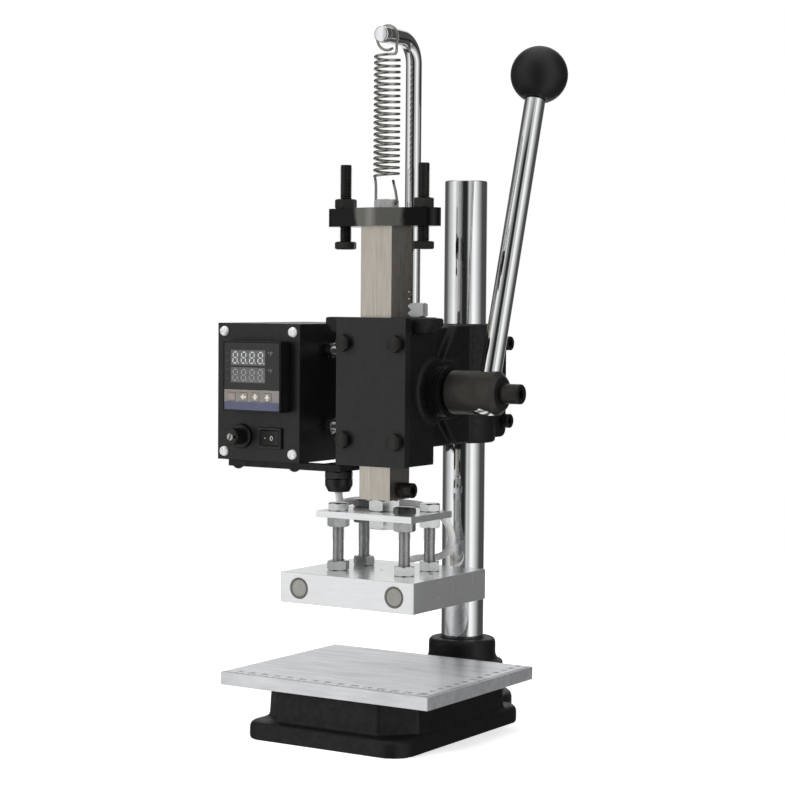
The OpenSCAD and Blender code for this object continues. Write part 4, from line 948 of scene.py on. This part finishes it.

# The stop plate's oxide has its reflection painted in: lighter in the middle, dark towards the ends
for name, tone in (("soft_switch_rocker", "rocker_black"), ("soft_stop_plate", "oxide_painted_sheen"),
                   ("panel_cross_screws", "screw_zinc"), ("soft_hub", "hub_satin")):
    paint(bpy.data.objects[name], EXTRA[tone])
paint(nodes["spring_anchor"], EXTRA["anchor_zinc"])

# Fuse cap with a bright slotted insert
soften("fuse_cap", 0.5 * MM)
INSERT_R, INSERT_SLOT, INSERT_TURN = 2.4, 0.45, -20
fuse_mid = middle("fuse_cap")
fuse_face = at(fuse_mid.x, low_high("fuse_cap")[0].y, fuse_mid.z, TO_FRONT @ rotate(INSERT_TURN))
bm = bmesh.new()
for side in (-1, 1):
    half = [(side * max(INSERT_SLOT, INSERT_R * math.cos(a)), side * INSERT_R * math.sin(a))
            for a in arc(-78, 79, 12)]
    slab(bm, half, fuse_face, INSERT_RISE)
mark("fuse_insert", "fuse_cap", bm, "insert_grey")

# The two marks on the rocker's faces: a bar for on and a ring for off
ROCKER_PIVOT = at(-80.0, -17.1, 192.7, rotate(9))
ROCKER_SLOPE = math.degrees(math.atan2(0.8, 7.8))
FACE_X, FACE_Y = 3.9, -3.0
BAR = (-0.5, 0, 2.4, 0.5)
RING_X, RING_W, RING_H, RING_STEPS = -2.6, 0.95, 1.6, 20
bm = bmesh.new()
left_face, right_face = (ROCKER_PIVOT @ at(s * FACE_X, FACE_Y, 0, rotate(s * ROCKER_SLOPE) @ TO_FRONT)
                         for s in (-1, 1))
slab(bm, rect(*BAR), left_face, THICK_MARK)
around = [2 * math.pi * k / RING_STEPS for k in range(RING_STEPS + 1)]
outer, inner = ([(RING_W * share_x * math.cos(a) + RING_X, RING_H * share_z * math.sin(a)) for a in around]
                for share_x, share_z in ((1, 1), (0.6, 0.76)))
for k in range(RING_STEPS):
    slab(bm, [outer[k], outer[k + 1], inner[k + 1], inner[k]], right_face, THICK_MARK)
mark("rocker_marks", "switch_rocker", bm, "mark_light")

# Edge scales of the table: a tick each millimetre, longer at 5 and 10, with numbers each 10
STROKES = {"0": "abcdef", "1": "bc", "2": "abged", "3": "abgcd", "4": "fgbc", "5": "afgcd", "6": "afgedc",
           "7": "abc", "8": "abcdefg", "9": "abfgcd"}
TICK_W, TICK_IN, FRONT_NUMERALS, SIDE_NUMERALS = 0.36, 0.8, 7.6, 8.0
NUMERAL_H, NUMERAL_W, NUMERAL_T, NUMERAL_GAP = 2.8, 1.4, 0.42, 0.9
table_low, table_high = low_high("work_table")


def tick_length(k):
    return 5.0 if k % 10 == 0 else 3.6 if k % 5 == 0 else 2.2


def numeral(bm, text, place):
    for i, letter in enumerate(text):
        shift = (i - (len(text) - 1) / 2) * (NUMERAL_W + NUMERAL_GAP)
        for name in STROKES[letter]:
            px, pz = SEGMENTS[name]
            size = (NUMERAL_W, NUMERAL_T) if px == 0 else (NUMERAL_T, NUMERAL_H / 2)
            slab(bm, rect(shift + px * NUMERAL_W / 2, pz * NUMERAL_H / 2, *size), place, INK)


def scale(bm, length, edge, number_in):
    """Ticks up from the local X axis, with numbers above them, from the place called edge."""
    for k in range(1, length):
        tick = tick_length(k)
        slab(bm, rect(k, TICK_IN + tick / 2, TICK_W, tick), edge, INK)
        if k % 10 == 0:
            numeral(bm, str(k), edge @ at(k, TICK_IN + number_in, 0))


bm = bmesh.new()
scale(bm, int(table_high.x - table_low.x), at(table_low.x, table_low.y, table_high.z), FRONT_NUMERALS)
scale(bm, int(table_high.y - table_low.y), at(table_high.x, table_low.y, table_high.z, rotate(90)),
      SIDE_NUMERALS)
mark("table_scales", "work_table", bm, "scale_ink")

# Ends of the heater cartridges: a dull disc in a darker rim
CARTRIDGE_X, RIM = 37.0, [(6.9, 0), (6.6, 0.2), (5.6, 0.2), (5.4, -0.1)]
cartridge_front, cartridge_mid = low_high("heater_cartridges")[0].y, middle("heater_cartridges")
bm = bmesh.new()
for x in (-CARTRIDGE_X, CARTRIDGE_X):
    lathe(bm, RIM, at(x, cartridge_front, cartridge_mid.z, TO_FRONT), 48)
mark("cartridge_rims", "heater_cartridges", bm, "rim_grey")

# Three small pits on the heating plate's top, drawn as near-black discs laid on its face: painted shade for
# the holes, as (x, y, radius)
PITS = ((-1.3, -0.6, 0.9), (29.0, -9.8, 1.1), (36.0, 1.4, 1.6))
bm = bmesh.new()
for x, y, r in PITS:
    lathe(bm, [(0, 0.05), (r, 0.05), (r, -0.2)], at(x, y, plate_top), 20)
mark("plate_pit_shades", "heating_plate", bm, "pit_painted_shade")

# Floor, world and lamps
WHITE = (1, 1, 1, 1)
PLAIN_LIGHT = (0.42, 0.42, 0.425, 1)
DOME_LIGHT, DOME_FROM, DOME_TO = (0.85, 0.85, 0.85, 1), 0.70, 0.92
# What shiny surfaces see around the machine, as (degrees, level) from behind over the left
BANDS = ((-180, 0.08), (-166, 0.80), (-134, 0.80), (-124, 0.10), (-98, 0.08), (-86, 0.11), (-76, 0.27),
         (-66, 0.44), (-50, 0.64), (-43, 0.80), (-36, 0.90), (-29, 0.90), (-24, 0.60), (-12, 0.52),
         (-7, 0.24), (6, 0.20), (11, 0.10), (16, 0.02), (34, 0.02), (39, 0.06), (44, 0.34), (50, 0.62),
         (55, 0.46), (61, 0.48), (68, 0.84), (72, 1.0), (81, 0.96), (92, 0.74), (104, 0.47), (119, 0.22),
         (130, 0.07), (178, 0.06))


def make_world():
    """White to the eye and plain to matt surfaces. Shiny ones see white screens with dark gaps."""
    world = bpy.data.worlds.new("studio")
    bpy.context.scene.world = world
    world.use_nodes = True
    tree = world.node_tree
    tree.nodes.clear()

    def add(kind, values=None, links=None, **settings):
        return shader_node(tree, kind, values, links, **settings)

    split = add("SeparateXYZ", links={0: add("TexCoord").outputs["Generated"]})
    minus = add("Math", {1: -1}, {0: split.outputs["Y"]}, operation="MULTIPLY")
    angle = add("Math", links={0: split.outputs["X"], 1: minus.outputs[0]}, operation="ARCTAN2")
    share = add("MapRange", {"From Min": -math.pi, "From Max": math.pi}, {"Value": angle.outputs[0]})
    ramp = add("ValToRGB", links={"Fac": share.outputs["Result"]})
    stops = ramp.color_ramp.elements
    stops.remove(stops[1])
    for i, (degrees, level) in enumerate(BANDS):
        stop = stops.new((degrees + 180) / 360) if i else stops[0]
        stop.color = (level, level, level, 1)
    above = add("MapRange", {"From Min": DOME_FROM, "From Max": DOME_TO}, {"Value": split.outputs["Z"]})
    dome = add("Mix", {"B": DOME_LIGHT}, {"Factor": above.outputs["Result"], "A": ramp.outputs["Color"]},
               data_type="RGBA")
    shiny = add("Background", links={"Color": dome.outputs["Result"]})
    plain, white = add("Background", {"Color": PLAIN_LIGHT}), add("Background", {"Color": WHITE})
    ray = add("LightPath")
    first = add("MixShader",
                links={"Fac": ray.outputs["Is Glossy Ray"], 1: plain.outputs[0], 2: shiny.outputs[0]})
    seen = add("Math", links={0: ray.outputs["Is Camera Ray"], 1: ray.outputs["Is Transmission Ray"]},
               operation="MAXIMUM")
    second = add("MixShader", links={"Fac": seen.outputs[0], 1: first.outputs[0], 2: white.outputs[0]})
    add("OutputWorld", links={"Surface": second.outputs[0]})


FLOOR_R, FLOOR_TONE, FLOOR_GLOW = 1.1, (0.85, 0.85, 0.85, 1), 0.55


def make_floor():
    """A pale floor that the camera sees as white, apart from the machine's shadow."""
    bm = bmesh.new()
    bmesh.ops.create_circle(bm, cap_ends=True, radius=FLOOR_R, segments=96)
    floor = bpy.data.objects.new("floor", to_mesh(bm, "floor"))
    bpy.context.scene.collection.objects.link(floor)
    material = bpy.data.materials.new("floor_white")
    material.use_nodes = True
    tree = material.node_tree
    shader = tree.nodes["Principled BSDF"]
    for key, value in (("Base Color", FLOOR_TONE), ("Roughness", 0.9), ("Specular IOR Level", 0.1)):
        shader.inputs[key].default_value = value
    ray = shader_node(tree, "LightPath")
    seen = shader_node(tree, "Math", operation="MAXIMUM",
                       links={0: ray.outputs["Is Camera Ray"], 1: ray.outputs["Is Transmission Ray"]})
    level = shader_node(tree, "Math", {1: FLOOR_GLOW}, {0: seen.outputs[0]}, operation="MULTIPLY")
    glow = shader_node(tree, "Emission", links={"Strength": level.outputs[0]})
    both = shader_node(tree, "AddShader", links={0: shader.outputs[0], 1: glow.outputs[0]})
    tree.links.new(both.outputs[0], tree.nodes["Material Output"].inputs["Surface"])
    paint(floor, material)
    floor.visible_glossy = False


LAMP_TARGET = Vector((0, 0, 0.2))
# Name, place, size and power
LAMPS = (("key", (-1.0, -1.7, 1.5), 1.2, 34), ("fill", (1.3, -0.9, 0.9), 0.9, 5),
         ("top", (0.0, 0.3, 1.9), 1.4, 16))


def make_lamp(name, place, size, watts):
    data = bpy.data.lights.new(name, "AREA")
    data.shape, data.size, data.energy = "DISK", size, watts
    obj = bpy.data.objects.new(name, data)
    obj.location = place
    obj.rotation_euler = (LAMP_TARGET - Vector(place)).to_track_quat("-Z", "Y").to_euler()
    obj.visible_glossy = False
    bpy.context.scene.collection.objects.link(obj)


make_world()
make_floor()
for lamp in LAMPS:
    make_lamp(*lamp)
bpy.context.scene.view_settings.view_transform = "Standard"
